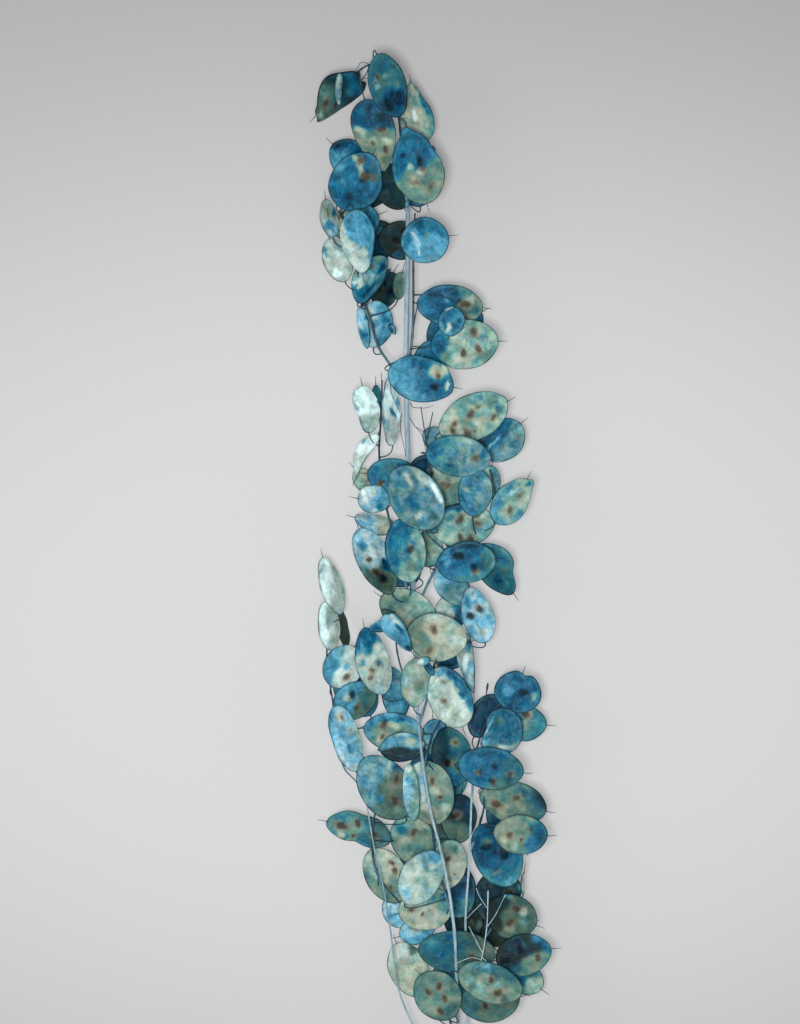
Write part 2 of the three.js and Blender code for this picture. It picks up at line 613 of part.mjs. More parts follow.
// The origin is the bottom centre of the whole plant's box.
const box = new THREE.Box3();
for (const body of bodies.values()) {
  const { min, max } = body.boundingBox();
  box.expandByPoint(vector(min)).expandByPoint(vector(max));
}
const shift = [-(box.min.x + box.max.x) / 2, -(box.min.y + box.max.y) / 2, -box.min.z];

const plant = new THREE.Group();
for (const [name, body] of bodies) {
  const isWood = name === 'stem' || name === 'bare_twig';
  const material = new THREE.MeshStandardMaterial({
    color: isWood ? '#6f8a98' : SPRAYS[name].colour,
    roughness: isWood ? 0.6 : 0.45,
    metalness: 0,
    side: THREE.FrontSide,
  });
  const mesh = new THREE.Mesh(geometryOf(body, shift), material);
  mesh.name = name;
  plant.add(mesh);
}

export default plant;
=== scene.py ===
"""Looks of a dried honesty plant (Lunaria annua), dyed blue and laid down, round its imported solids.

The plant is a stem of three limbs with sprays of flat papery seed pods. Sizes are millimetres in
the plant's own plan: X to the right, Y towards the tip, Z up from the surface that it lies on.
Meshes are moved by SHIFT and turned to metres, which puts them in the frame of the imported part.
"""

from __future__ import annotations

import logging
import math
from dataclasses import dataclass, field
from enum import Enum, IntEnum

import bpy
import numpy as np
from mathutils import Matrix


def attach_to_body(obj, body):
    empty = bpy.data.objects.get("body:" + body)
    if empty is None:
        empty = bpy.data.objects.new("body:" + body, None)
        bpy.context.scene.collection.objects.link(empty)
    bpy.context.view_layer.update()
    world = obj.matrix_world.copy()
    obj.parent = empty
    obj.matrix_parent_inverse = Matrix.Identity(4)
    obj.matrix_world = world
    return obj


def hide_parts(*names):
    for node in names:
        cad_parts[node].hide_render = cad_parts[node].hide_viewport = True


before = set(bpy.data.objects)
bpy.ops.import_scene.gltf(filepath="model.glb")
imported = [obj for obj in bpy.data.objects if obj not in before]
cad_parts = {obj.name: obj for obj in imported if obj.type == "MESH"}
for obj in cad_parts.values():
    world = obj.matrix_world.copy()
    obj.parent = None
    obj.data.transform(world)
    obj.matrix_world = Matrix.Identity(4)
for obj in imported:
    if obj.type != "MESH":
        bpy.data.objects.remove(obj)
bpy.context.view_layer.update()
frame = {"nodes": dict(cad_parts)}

log = logging.getLogger("honesty")
Array = np.ndarray
Socket = bpy.types.NodeSocket

SHIFT = np.array([-2.7444, -262.0530, 0.0])  # from the plant's plan to the part's frame, mm
MM = 0.001


# ---------------------------------------------------------------- the plant's plan


@dataclass(frozen=True)
class Paper:
    """How dyed a stretch of papery valve is.

    dye runs from bare cream (0) to ink (1). The second number is the share of olive, the third,
    bleach, is white, and the fourth is how light the paper is, about 1. Olive and a lightness
    below 1 are partly the paper's own green tint and darker dye, and partly painted shade of
    paper that lies in the shadow of other pods. A lightness above 1 is painted light, which
    brightens white pods that are turned from the lamps.
    """

    dye: float
    cast: float
    bleach: float
    tone: float


class Look(Enum):
    """The looks that a pod's paper has; some are partly painted shade and light."""

    NAVY = Paper(0.92, 0.1, 0.0, 0.66)
    DEEP = Paper(0.78, 0.0, 0.0, 0.92)
    BLUE = Paper(0.62, 0.0, 0.08, 1.0)
    TEAL = Paper(0.42, 0.1, 0.04, 0.95)
    SKY = Paper(0.50, 0.0, 0.32, 1.05)
    ICE = Paper(0.36, 0.0, 0.66, 1.04)
    PALE = Paper(0.06, 0.0, 0.62, 1.0)
    # SNOW's lightness above 1 is painted light, which brightens white pods turned from the lamps.
    SNOW = Paper(0.0, 0.0, 1.0, 1.36)
    CREAM = Paper(0.08, 0.05, 0.12, 1.02)
    MINT = Paper(0.19, 0.0, 0.14, 1.0)
    SAGE = Paper(0.20, 0.35, 0.0, 0.86)
    # OLIVE, MURK and PINE are partly painted shade: dark olive and near-black paper for pods that lie
    # in the shadow of others.
    OLIVE = Paper(0.26, 0.85, 0.0, 0.5)
    MURK = Paper(0.42, 1.0, 0.0, 0.22)
    PINE = Paper(0.48, 0.4, 0.0, 0.22)
    MOSS = Paper(0.24, 0.5, 0.0, 0.6)
    SLATE = Paper(0.40, 0.25, 0.0, 0.62)
    MIST = Paper(0.36, 0.05, 0.3, 0.82)
    MILK = Paper(0.13, 0.0, 0.42, 0.98)


(NAVY, DEEP, BLUE, TEAL, SKY, ICE, PALE, SNOW, CREAM, MINT,
 SAGE, OLIVE, MURK, PINE, MOSS, SLATE, MIST, MILK) = Look


@dataclass(frozen=True)
class PodPlan:
    """One pod: its place, form and dye.

    x, y: middle of the pod. heading: where its beak points, degrees from +X. roll: about its
    long axis, degrees. height: at which it hangs, 0 for a pod that lies on the surface.
    look: its paper, and far its paper past the line that is crossed towards `toward` degrees at
    share `at` of its size. seeds: places of seeds in plan, with a size and a strength if not 1.
    rim: pushes of the outline, each a way in plan in degrees, mm outwards and half width in
    degrees. washes: blots of other dye, each a place in plan, a radius and a look, and for a
    streak its way in plan in degrees and how many times longer than wide it is. Some washes are
    painted light: white streaks are painted highlights on creases and gloss, and a few dark
    streaks are painted shade of folds. cup, twist: mm that the paper is hollowed across and
    turned from end to end, drawn where not given. bow: mm that it bends sideways. egg: share by
    which it is wider towards its beak. point: share by which its tip is drawn out. clear:
    whether its paper lets light through.
    """

    x: float
    y: float
    heading: float
    length: float
    width: float
    roll: float
    height: float
    look: Look = BLUE
    far: Look | None = None
    toward: float = 0.0
    at: float = 0.0
    seeds: tuple[tuple[float, ...], ...] = ()
    rim: tuple[tuple[float, float, float], ...] = ()
    washes: tuple[tuple[float | Look, ...], ...] = ()
    cup: float | None = None
    twist: float | None = None
    bow: float = 0.0
    egg: float = 0.0
    point: float = 0.05
    clear: bool = False


P = PodPlan
Row = tuple[float, ...]
BARE = ((-100, 0),)  # seeds of a paper that shows none: one place far off the plant


@dataclass(frozen=True)
class SprayPlan:
    """One spray: its stalk, bare twigs and wisps as rows of x, y, z, its pods and its flaps.

    A flap is a loose valve or a turned-over edge, which has neither pedicel nor beak.
    """

    stalk: tuple[Row, ...]
    pods: tuple[PodPlan, ...]
    twigs: tuple[tuple[Row, ...], ...] = ()
    flaps: tuple[PodPlan, ...] = ()
    wisps: tuple[tuple[Row, ...], ...] = ()
    slim: float = 1.0


LIMBS: dict[str, tuple[Row, ...]] = {
    "main": (
        (20.5, -108, 2.7, 2.6), (20.5, -66.5, 12.5, 2.4), (19.5, -26.5, 26, 2.2),
        (18, 10, 39, 2.0), (15.5, 50, 48, 1.95), (8.5, 94, 50, 1.9), (0, 130, 48, 1.85),
        (-6, 168.5, 39, 1.8), (-9.5, 206.5, 29, 1.8), (-10.5, 266.5, 26, 1.8),
        (-14, 333.5, 25, 1.75), (-15.5, 400, 25, 1.65), (-15.5, 466.5, 24, 1.55),
        (-15, 530, 23, 1.35),
    ),
    "left": (
        (20, -82, 8.5, 1.5), (5.5, -56.5, 16, 1.5), (-10.5, -20, 27, 1.35),
        (-21.5, 10, 35, 1.25), (-26.5, 46.5, 42, 1.2), (-31.5, 76.5, 44, 1.15),
        (-36, 96.5, 43, 1.15), (-39.5, 116.5, 39, 1.1), (-42.5, 135.5, 33, 1.1),
    ),
    "right": (
        (21, -55, 16.5, 1.7), (25, -13.5, 23.5, 1.55), (25, 26.5, 28, 1.45),
        (23.5, 53.5, 36, 1.35), (26, 97.5, 44, 1.3), (28, 136.5, 40, 1.25),
    ),
}

BARE_TWIG: tuple[tuple[Row, ...], ...] = (
    ((24.5, -8, 24.5), (30, 12, 41), (34, 28.5, 49), (37.5, 50, 49), (38.5, 74, 46)),
    ((38.3, 62, 47.5), (33, 70, 49), (30.5, 76, 49)),
    ((37.5, 50, 49), (43, 58, 50), (50, 72, 50)),
    ((34, 28.5, 49), (27, 30, 50), (17.5, 26.5, 51)),
    ((34.8, 33, 49), (30, 42, 50), (25.5, 51, 50)),
    ((34.5, 30, 49), (38, 27, 50), (42, 25.5, 50)),
    ((23, 53, 38), (28.5, 60, 46), (34, 65.5, 48)),
)

SPRAYS: dict[str, SprayPlan] = {}
SPRAYS["crown_spray"] = SprayPlan(
    stalk=((-15, 529, 23), (-18.5, 566.5, 22), (-22, 596.5, 20), (-29.5, 621.5, 19),
           (-40, 625.5, 19), (-49.5, 620, 19)),
    pods=(
        P(-60, 605, 219, 41, 28, -45, 22, MOSS, PINE, 36, 0, ((-70.5, 600, 1.05), (-65, 599.5, 0.8),
          (-75, 593.5, 0.4)), rim=((231, 4, 12), (206, -1, 12), (140, 2.5, 28), (39, -4.5, 16),
          (357, 3.7, 22), (276, -2.3, 24)), washes=((-65, 615, 4, PINE, 30, 2), (-70.5, 604, 3,
          SAGE), (-73.5, 591, 2.5, MINT), (-50.5, 609, 5, BLUE), (-54, 616.5, 3, DEEP), (-49.5,
          599.5, 3, TEAL), (-67.5, 593.5, 3, MOSS)), cup=-5),
        P(-26, 544, -60, 33, 25, 20, 12, PINE, MURK, -50, 0.5, washes=((-27.5, 549.5, 3, PINE),)),
        P(-52.5, 561.5, 140, 32, 28, 12, 12, SKY, DEEP, 60, 0.1, washes=((-59, 562, 3, SKY), (-52,
          570, 3, BLUE), (-50, 560, 3, DEEP))),
        P(-36.5, 578, -73, 45, 28, 15, 30, SAGE, DEEP, 90, 0.2, ((-32, 581, 1.25), (-38, 572, 0.95,
          0.8), (-29.5, 567.5, 1.15), (-38, 563.5, 0.25), (-32.5, 562, 0.3), (-48.5, 585.5, 0.3)),
          rim=((-78, 2.5, 16), (150, 1, 30)), washes=((-46, 593.5, 3, BLUE), (-32.5, 589.5, 4.5,
          PINE), (-46, 580, 2.6, CREAM, -40, 1.8), (-38.5, 575, 2.4, CREAM), (-29, 560.5, 3.5,
          MOSS), (-29, 572.5, 3, MINT), (-43.5, 568, 2.6, SAGE)), egg=-0.24),
        # The long SNOW streak is a painted highlight on crinkles.
        P(-9.5, 589.5, 96, 36, 28, 36, 32, CREAM, BLUE, 20, 0.55, ((-10, 582.5, 1.3, 0.5), (-12,
          591, 0.8, 0.4)), rim=((-12, -1.6, 25),), washes=((-10.5, 589.5, 1.6, SNOW, -80, 2.4),
          (-12, 603, 2, MINT), (-4.5, 579, 2.5, CREAM), (-9.5, 609, 1.6, TEAL), (-15.5, 586, 3,
          CREAM)), cup=4, egg=-0.28, point=0.3),
        P(-28, 608.5, -70, 43, 29.5, 32, 40, SLATE, DEEP, -80, 0.2, ((-27, 596, 1.6, 1.2), (-25,
          603, 0.9), (-35, 615, 0.7), (-36, 610.5, 0.4)), washes=((-35, 609, 2, MIST, -70, 2.2),
          (-30, 615, 2, SAGE), (-29, 593.5, 3, PINE), (-39.5, 620, 3, SLATE), (-35, 600.5, 3,
          SLATE), (-22.5, 610.5, 3, SLATE))),
        P(-8.5, 554, -75, 47.5, 34.5, 5, 46, BLUE, SAGE, -62, 0.1, ((-18, 562, 0.9), (-6.5, 557,
          1.25), (-4.5, 553, 0.9), (-10.5, 544, 1.3, 0.9), (0, 541, 1.1, 0.8)), rim=((108, 3.5, 13),
          (45, -1.2, 22), (235, -0.8, 25)), washes=((-15.5, 574, 3, SLATE), (-22.5, 565.5, 3, BLUE),
          (-7, 559.5, 2.4, PINE), (-13, 554.5, 2.6, CREAM), (-6, 551, 3, CREAM), (-19, 556, 3,
          BLUE), (-3.5, 569, 3, BLUE), (-10.5, 543.5, 3, CREAM)), egg=0.14),
        P(-10, 552, 100, 40, 28, 0, 0, BLUE),
    ),
    flaps=(
        P(-60.5, 607.5, 88, 21, 7, 30, 26, MIST, MILK, 180, 0.1, rim=((0, -1.5, 50),)),
        P(2.5, 567.5, 100, 6, 3, 20, 24, SKY),
        P(-14, 532.5, 60, 8, 4, -30, 30, SKY, DEEP),
    ),
    wisps=(
        ((-40, 625.5, 19.5), (-46, 627, 20), (-49.5, 621, 20.5)),
        ((-29.5, 621.5, 19.5), (-38, 616, 24), (-45, 615.5, 25)),
        ((-1, 575, 24), (1.5, 569, 25), (4.5, 568, 25)),
    ),
)
SPRAYS["upper_left_spray"] = SprayPlan(
    stalk=((-16, 402.5, 27), (-26, 422.5, 30), (-34.5, 436, 29), (-40, 454.5, 28),
           (-45.5, 472, 24), (-49.5, 492, 22), (-54.5, 510, 22), (-59.5, 526.5, 22)),
    pods=(
        P(-41.5, 539.5, 20, 37, 24, 35, 8, MURK, PINE, 0, 0.2),
        P(-36, 508.5, 10, 31, 28, 20, 8, PINE, MURK, 125, 0.35, washes=((-32.5, 505, 4, DEEP), (-34,
          514, 3, BLUE))),
        P(-49.5, 519.5, 20, 31, 28, 0, 14, BLUE, SAGE, 150, 0.1, ((-51, 527.5, 1.2), (-60.5, 523.5,
          1)), washes=((-57, 523.5, 3, CREAM), (-46.5, 528.5, 2.4, CREAM), (-42, 527.5, 2, TEAL),
          (-33.5, 520, 3, BLUE))),
        P(-67.5, 521.5, 100, 25.5, 20, 50, 20, MILK, ICE, -70, 0.15, ((-68.5, 525, 0.8, 0.8),),
          washes=((-68.5, 525, 3, CREAM), (-67.5, 517.5, 3, SKY), (-67.5, 512, 2, PALE), (-63.5,
          527.5, 2, BLUE, 80, 2))),
        P(-62, 494, 110, 29.5, 20, 12, 22, MILK, MILK, 180, 0.5, ((-62, 491, 0.7, 0.4),),
          washes=((-70.5, 500, 2, SKY, -70, 2), (-57.5, 504, 2, PALE), (-62.5, 485, 3, SNOW), (-62,
          498, 3, PALE))),
        P(-49, 546, 60, 40, 35, 8, 30, BLUE, None, 40, 0.12, ((-45.5, 560.5, 1.3, 0.9), (-43.5,
          549.5, 1.7), (-48, 563, 0.5, 0.7)), rim=((200, 0.8, 30), (20, -0.8, 30)), washes=((-61.5,
          556, 4, SKY), (-50.5, 562, 2.4, CREAM), (-47, 556, 2.4, CREAM, -60, 1.8), (-37.5, 556, 3,
          SLATE), (-37.5, 548.5, 3.5, MOSS), (-43.5, 549.5, 4, SAGE), (-46, 560.5, 3, CREAM),
          (-58.5, 546, 2, SKY), (-54, 536.5, 3, DEEP), (-43.5, 537.5, 4.5, BLUE), (-53, 554.5, 3,
          DEEP))),
        P(-30, 474.5, 65, 25.5, 20, 20, 12, MURK, None, 0, 0, ((-34.5, 474, 1.1), (-28, 474, 1.2),
          (-31, 479, 0.9)), washes=((-25, 467.5, 2.5, OLIVE), (-36, 476.5, 2.5, OLIVE))),
        P(-20.5, 477.5, 80, 18.5, 14.5, 58, 16, SAGE, MINT, 0, 0.2, rim=((-60, 1.5, 20), (110, 1,
          20))),
        # The long DEEP streak at (-40, 474) is painted shade along a fold.
        P(-40, 481.5, 60, 34.5, 26.5, -40, 28, MIST, BLUE, 235, 0.4, ((-38, 490.5, 0.7, 0.6),),
          washes=((-34.5, 494.5, 3, SAGE), (-39, 489, 2, MOSS), (-31.5, 488.5, 2, DEEP, 50, 2),
          (-45.5, 482.5, 3, ICE), (-46.5, 477, 2, MILK, 45, 1.6), (-40, 474, 1.4, DEEP, 50, 5),
          (-50.5, 479, 2, ICE)), cup=4),
        P(-36.5, 451.5, 85, 30.5, 24, 10, 14, ICE, SKY, 0, 0.2, washes=((-36, 452, 3, SKY), (-29.5,
          454.5, 2.5, BLUE), (-40.5, 459.5, 2.5, PALE, -60, 2), (-33.5, 462, 2.5, SKY))),
        P(-48, 505.5, -82, 40, 25.5, 25, 44, SKY, MILK, 212, 0.1, ((-52, 504, 0.9, 0.4),), rim=((20,
          1, 25), (-60, 1.5, 16)), washes=((-50.5, 496, 2, PALE, -64, 3), (-40, 508, 3.4, SKY, -85,
          2.6), (-49, 516.5, 4.5, SKY), (-40.5, 517.5, 3, BLUE), (-55, 510.5, 1.5, ICE)), egg=-0.25,
          point=0.12),
        P(-43, 507, 120, 38, 28, 0, 0, BLUE),
    ),
    flaps=(
        P(-36.5, 475.5, 52, 31, 6, -20, 27, NAVY, DEEP, 52, 0.4),
        P(-44.5, 449, 100, 28, 9, -35, 22, ICE, SKY, -90, 0.1, washes=((-42, 456, 2, BLUE), (-44,
          443.5, 2.5, BLUE))),
        P(-25, 448, -60, 8, 5, 30, 20, DEEP, SKY),
    ),
)
SPRAYS["upper_right_spray"] = SprayPlan(
    stalk=((-14.5, 420, 25.5), (-11.5, 446.5, 24.5), (-11, 473.5, 24.5), (-11, 492, 24.5),
           (-10.5, 510, 24), (-10, 525.5, 24)),
    pods=(
        P(-20, 508, 175, 28, 26.5, 0, 10, MURK, MURK, -35, 0.3, ((-23.5, 507.5, 1.35), (-18, 513.5,
          1.1)), washes=((-27.5, 514, 3, PINE), (-21, 498, 3, DEEP))),
        P(-3.5, 506, 10, 31, 31, 0, 40, SKY, BLUE, 75, 0.35, washes=((-9, 505.5, 2, ICE, -75, 4),
          (-11.5, 510.5, 0.7, PALE, -60, 3), (-7.5, 499, 0.7, PALE, -80, 4), (-9, 519.5, 2.2, DEEP,
          0, 2), (-15, 505.5, 3, BLUE, 80, 2), (3.5, 506.5, 5, SKY)), egg=0.03),
        P(13.5, 463, -4, 42.5, 28, 8, 32, BLUE, SAGE, -10, 0.14, ((23.5, 464, 1.3), (19, 466, 0.8),
          (24, 454.5, 1)), rim=((120, 0.6, 25),), washes=((0.5, 465.5, 5, BLUE), (12, 460.5, 2,
          SKY), (11.5, 468.5, 2.5, SKY), (27.5, 467.5, 3, CREAM), (-4, 465.5, 3, BLUE), (5.5, 472.5,
          2.5, BLUE), (17.5, 459.5, 2, MINT), (32, 460.5, 2, SLATE))),
        P(0.5, 428.5, 50, 25.5, 21.5, 0, 30, BLUE, BLUE),
        P(23, 437, 5, 43.5, 33.5, 0, 40, MINT, BLUE, 180, 0.6, ((22, 431, 1.1), (32, 434, 1.1),
          (29.2, 445, 1.2)), washes=((37, 429, 5, SAGE), (10.5, 429, 4, SAGE), (27.5, 429, 3,
          CREAM), (22.5, 448.5, 4, MINT), (36, 441, 2.5, MIST))),
        # Its pale streaks are painted highlights on the glossy clear paper.
        P(14, 451.5, -100, 19.5, 18, 10, 52, SKY, BLUE, 100, 0.3, washes=((6.5, 458, 2, DEEP),
          (12.5, 460.5, 1.2, PALE, 30, 3), (12.5, 447.5, 1.6, PALE, 80, 2), (20, 452, 2, BLUE), (9,
          452, 2, BLUE)), clear=True),
        P(-6.5, 413.5, -14, 42.5, 31, 5, 50, BLUE, SKY, 200, 0.2, ((5, 415.5, 1.15), (2.5, 407.5,
          1)), rim=((28, 1.2, 12), (-25, 0.8, 14), (75, -0.6, 20)), washes=((4, 418, 5.5, CREAM),
          (9, 419.5, 4, CREAM), (11.5, 409.5, 1.5, PALE, 80, 2.5), (3, 408.5, 2.2, NAVY), (-9, 428,
          3, BLUE), (-14, 409.5, 4, SKY), (-19, 420.5, 4, SKY))),
        P(17, 450, 30, 40, 30, 0, 0, BLUE),
    ),
    twigs=(
        ((-11.5, 446.5, 24.5), (-9, 460, 27), (-7.5, 467, 28)),
    ),
)
SPRAYS["mid_left_spray"] = SprayPlan(
    stalk=((-12.5, 262.5, 26.5), (-18.5, 286.5, 27), (-25.5, 313.5, 27), (-31.5, 340, 25),
           (-34, 366.5, 25), (-32.5, 390, 25), (-32, 413.5, 24)),
    pods=(
        P(-35.5, 399.5, 95, 21.5, 16, 60, 18, TEAL, DEEP, -90),
        P(-42.5, 394, 98, 30.5, 22.5, 38, 28, SNOW, MILK, -80, 0.2, rim=((225, -3, 30), (140, 1.5,
          25)), washes=((-49, 395, 1.4, ICE, -60, 4), (-34, 399, 1.6, TEAL, 85, 2))),
        P(-26, 392.5, 92, 42.5, 24, 55, 34, SNOW, PALE, -90, 0.1, rim=((-95, 2, 18), (100, 1.5, 14),
          (180, -1, 20), (0, 0.8, 30)), washes=((-21, 400, 2, ICE, 80, 3), (-29.5, 383, 2, ICE, -70,
          3), (-25, 391.5, 1.5, SKY, -60, 3))),
        P(-44, 364.5, 242, 29.5, 14, 45, 28, SNOW, MILK, -90, 0.1, washes=((-45, 373.5, 3, ICE),),
          bow=4, egg=-0.3, point=0.16),
        P(-44, 346.5, 130, 18.5, 14.5, 0, 18, MINT),
        P(-24.5, 348.5, 172, 33.5, 26, 0, 32, TEAL, BLUE, 200, 0.4, ((-32.5, 345, 1.05),),
          washes=((-21, 357.5, 3, TEAL), (-27, 355, 3, SLATE), (-35.5, 350.5, 3, BLUE), (-12.5,
          357.5, 2, DEEP, 0, 3), (-33, 344, 2.5, MOSS))),
        P(-36.5, 317.5, 165, 28, 20, 50, 22, ICE, MINT, 0, 0.1),
        P(-37.5, 333.5, 175, 21, 19, -18, 32, ICE, SKY, -20, 0.25, rim=((60, 1.5, 20), (130, 1,
          20)), washes=((-43.5, 336, 1.6, SNOW, -70, 3), (-33.5, 328.5, 2.5, BLUE), (-37.5, 338,
          1.6, MILK, -70, 2))),
        P(-36.5, 292.5, 117, 46.5, 28, 30, 38, ICE, MOSS, -75, 0.1, ((-40.5, 293.5, 0.9), (-36, 285,
          1.3), (-31, 281, 1.25), (-31, 292.5, 0.8)), washes=((-45, 302.5, 3, SKY), (-38, 299, 1.6,
          PALE, -60, 3), (-35, 284.5, 3, MOSS), (-31.5, 281, 3, MURK), (-26.5, 275, 3, MOSS), (-45,
          282, 2.5, SKY, -70, 2.5), (-39, 275, 3.5, SLATE), (-29, 289, 2.5, DEEP, -60, 2))),
        P(-16.5, 300, 98, 40.5, 28, 8, 48, BLUE, MINT, -20, -0.02, ((-13, 300.5, 1.25, 0.9),),
          rim=((-80, 0.8, 16),), washes=((-26.5, 300.5, 4, BLUE), (-12, 304, 4, MIST), (-12, 289.5,
          4, SAGE), (-23, 287, 3, MIST), (-26.5, 292, 3, BLUE), (-17, 295.5, 4, MIST), (-7.5, 296.5,
          3, SAGE))),
        P(-24, 290, 150, 38, 28, 0, 0, BLUE),
    ),
    wisps=(
        ((-19, 391.5, 30), (-20, 383, 30), (-18, 372, 29), (-16, 362.5, 28)),
        ((-26.5, 411.5, 36), (-25.5, 403.5, 40), (-21, 394, 40), (-20, 391.5, 34)),
        ((-32.5, 418, 34), (-32.5, 414, 34), (-32, 410.5, 32)),
    ),
)
SPRAYS["mid_right_spray"] = SprayPlan(
    stalk=((-12.5, 302.5, 26), (-4, 330, 28), (0, 352, 28), (8, 368, 30), (22.5, 375.5, 30),
           (37.5, 372, 30)),
    pods=(
        P(5.5, 373.5, 150, 21.5, 17.5, 0, 22, MIST, ICE),
        P(-5, 354, 60, 20, 17, 0, 18, DEEP, MURK, -60, 0, BARE),
        P(48.5, 373.5, 42, 32, 28, 0, 26, BLUE, MIST, -30, washes=((39.5, 368.5, 1, ICE, 60, 5),
          (44.5, 373.5, 0.8, ICE, 50, 5), (37.5, 360, 2.5, MIST))),
        P(29, 388.5, 25, 47.5, 30.5, 10, 36, MINT, MINT, -70, 0.2, ((27, 390.5, 1.3), (32, 395.5,
          1.05, 0.8), (42, 388, 1.1, 0.9), (16, 384, 1.05, 0.9), (15, 379.5, 0.9), (25, 378, 1.3,
          0.9), (29.5, 379, 0.8, 0.8)), rim=((30, 0.8, 12), (130, 0.5, 20)), washes=((14, 385.5,
          3.5, CREAM), (12, 379.5, 3, CREAM), (24, 400, 3.5, MINT, 30, 2), (41, 399, 4, SAGE),
          (33.5, 385.5, 4, CREAM), (46, 394, 3, SLATE), (24, 385.5, 4, SAGE))),
        P(10.5, 344.5, -70, 32, 29.5, 0, 24, MINT, SAGE, -60, 0.2, ((10.5, 343.5, 1.4, 0.9),),
          washes=((-0.5, 350.5, 3, MURK), (14, 349, 4, SAGE))),
        P(18.5, 362.5, -6, 41.5, 28, 8, 48, TEAL, MIST, 0, 0, ((30, 361, 1.25, 0.8), (13, 356.5,
          0.8, 0.7)), washes=((2, 365, 4, BLUE), (21.5, 373.5, 2.4, MINT, -10, 3), (30, 361, 3,
          SAGE), (13, 365, 4, MIST), (36, 365, 2.4, BLUE, 70, 2))),
        # Its SNOW, PALE and MILK streaks are painted highlights on the glossy clear paper.
        P(-9.5, 334.5, 125, 45.5, 34.5, 5, 56, MIST, MIST, -60, 0.1, washes=((-15, 347.5, 2, PALE,
          -60, 2.6), (-5, 346.5, 3, MILK, -55, 3), (4.5, 338, 1.8, SNOW, -62, 5), (-21, 342, 4,
          TEAL), (-12.5, 332, 5, BLUE), (-21.5, 328.5, 3, BLUE, -70, 2), (-7.5, 322.5, 1.2, PALE,
          50, 3), (2, 322.5, 3, SLATE), (-0.5, 336, 2.5, MIST, -62, 3)), clear=True),
        P(27, 375, 15, 40, 28, 0, 0, BLUE),
    ),
    twigs=(
        ((0, 352, 28), (-2.5, 372, 29), (-6, 395.5, 30)),
        ((-2.5, 372, 29), (2, 392, 32)),
    ),
    wisps=(
        ((-13.5, 398, 44), (-11.5, 395, 43), (-6.5, 394.5, 42), (-2.5, 394.5, 42),
         (2, 396, 42)),
        ((-13.5, 388, 30), (-9.5, 382, 30), (-6, 378, 30), (-4, 372, 30), (-2.5, 365.5, 30)),
    ),
)
SPRAYS["outer_right_spray"] = SprayPlan(
    stalk=((-10, 258.5, 27.5), (0, 280, 28.5), (12, 301.5, 29), (29.5, 308, 29),
           (40.5, 318.5, 30), (43.5, 337.5, 30), (40, 353.5, 30)),
    pods=(
        P(38, 344.5, 75, 24, 20, 20, 26, MINT, MIST, 0, 0.2),
        P(30, 338.5, 85, 30.5, 24, 8, 34, MIST, SKY, 190, 0.15, washes=((24, 340.5, 2, CREAM, -40,
          2), (20.5, 334.5, 3, BLUE), (26.5, 327.5, 3, SKY))),
        P(21.5, 316.5, 4, 42, 29.5, 0, 32, MINT, DEEP, 118, 0.55, ((20, 320.5, 1.35), (31, 323,
          0.9), (31.7, 317.5, 0.9), (20.4, 308, 1), (27, 307, 1.2)), washes=((19, 328.5, 3, DEEP),
          (31, 317.5, 4, SAGE), (13, 322, 3, TEAL))),
        P(54, 332, 55, 34, 25, 15, 36, MINT, SKY, 200, 0.6, ((59.5, 336.5, 1.2, 0.7), (53, 326.5,
          1.25, 0.75)), rim=((42, 3.5, 13), (-10, -1.2, 24), (100, -1, 24)), washes=((59.5, 323,
          2.2, SKY, 70, 2), (66, 344, 1.6, BLUE), (51.5, 340.5, 1.8, SKY, 45, 4), (45, 330.5, 2.4,
          SKY, 80, 2), (54.5, 338, 1, ICE, 35, 4)), point=0.06),
        P(15, 276, -50, 29.5, 21.5, 0, 26.5, MIST, ICE, 120, 0.3),
        P(43, 288.5, -52, 36, 27.5, -20, 34, TEAL, SLATE, -70, rim=((-18, -2.6, 24),),
          washes=((48.5, 294, 3, BLUE), (50, 285.5, 1.8, MOSS, 80, 2), (45, 280.5, 3, DEEP), (36.5,
          278, 3, SLATE)), cup=3, point=0.22),
        P(24, 292, 6, 38, 28, 0, 46, BLUE, TEAL, -40, 0.35, ((19, 296, 1.3, 1.1), (29, 288, 1.3,
          1.1)), washes=((36.5, 290.5, 4.5, SLATE), (34.5, 296.5, 2, MOSS), (20, 301, 2.5, SAGE),
          (11, 292.5, 3.5, SKY), (19.5, 282, 3, TEAL), (24, 303.5, 3, DEEP, 0, 3))),
        P(-1, 300.5, -85, 24, 20, 0, 20, SAGE, MINT, 0, 0.3),
    ),
)
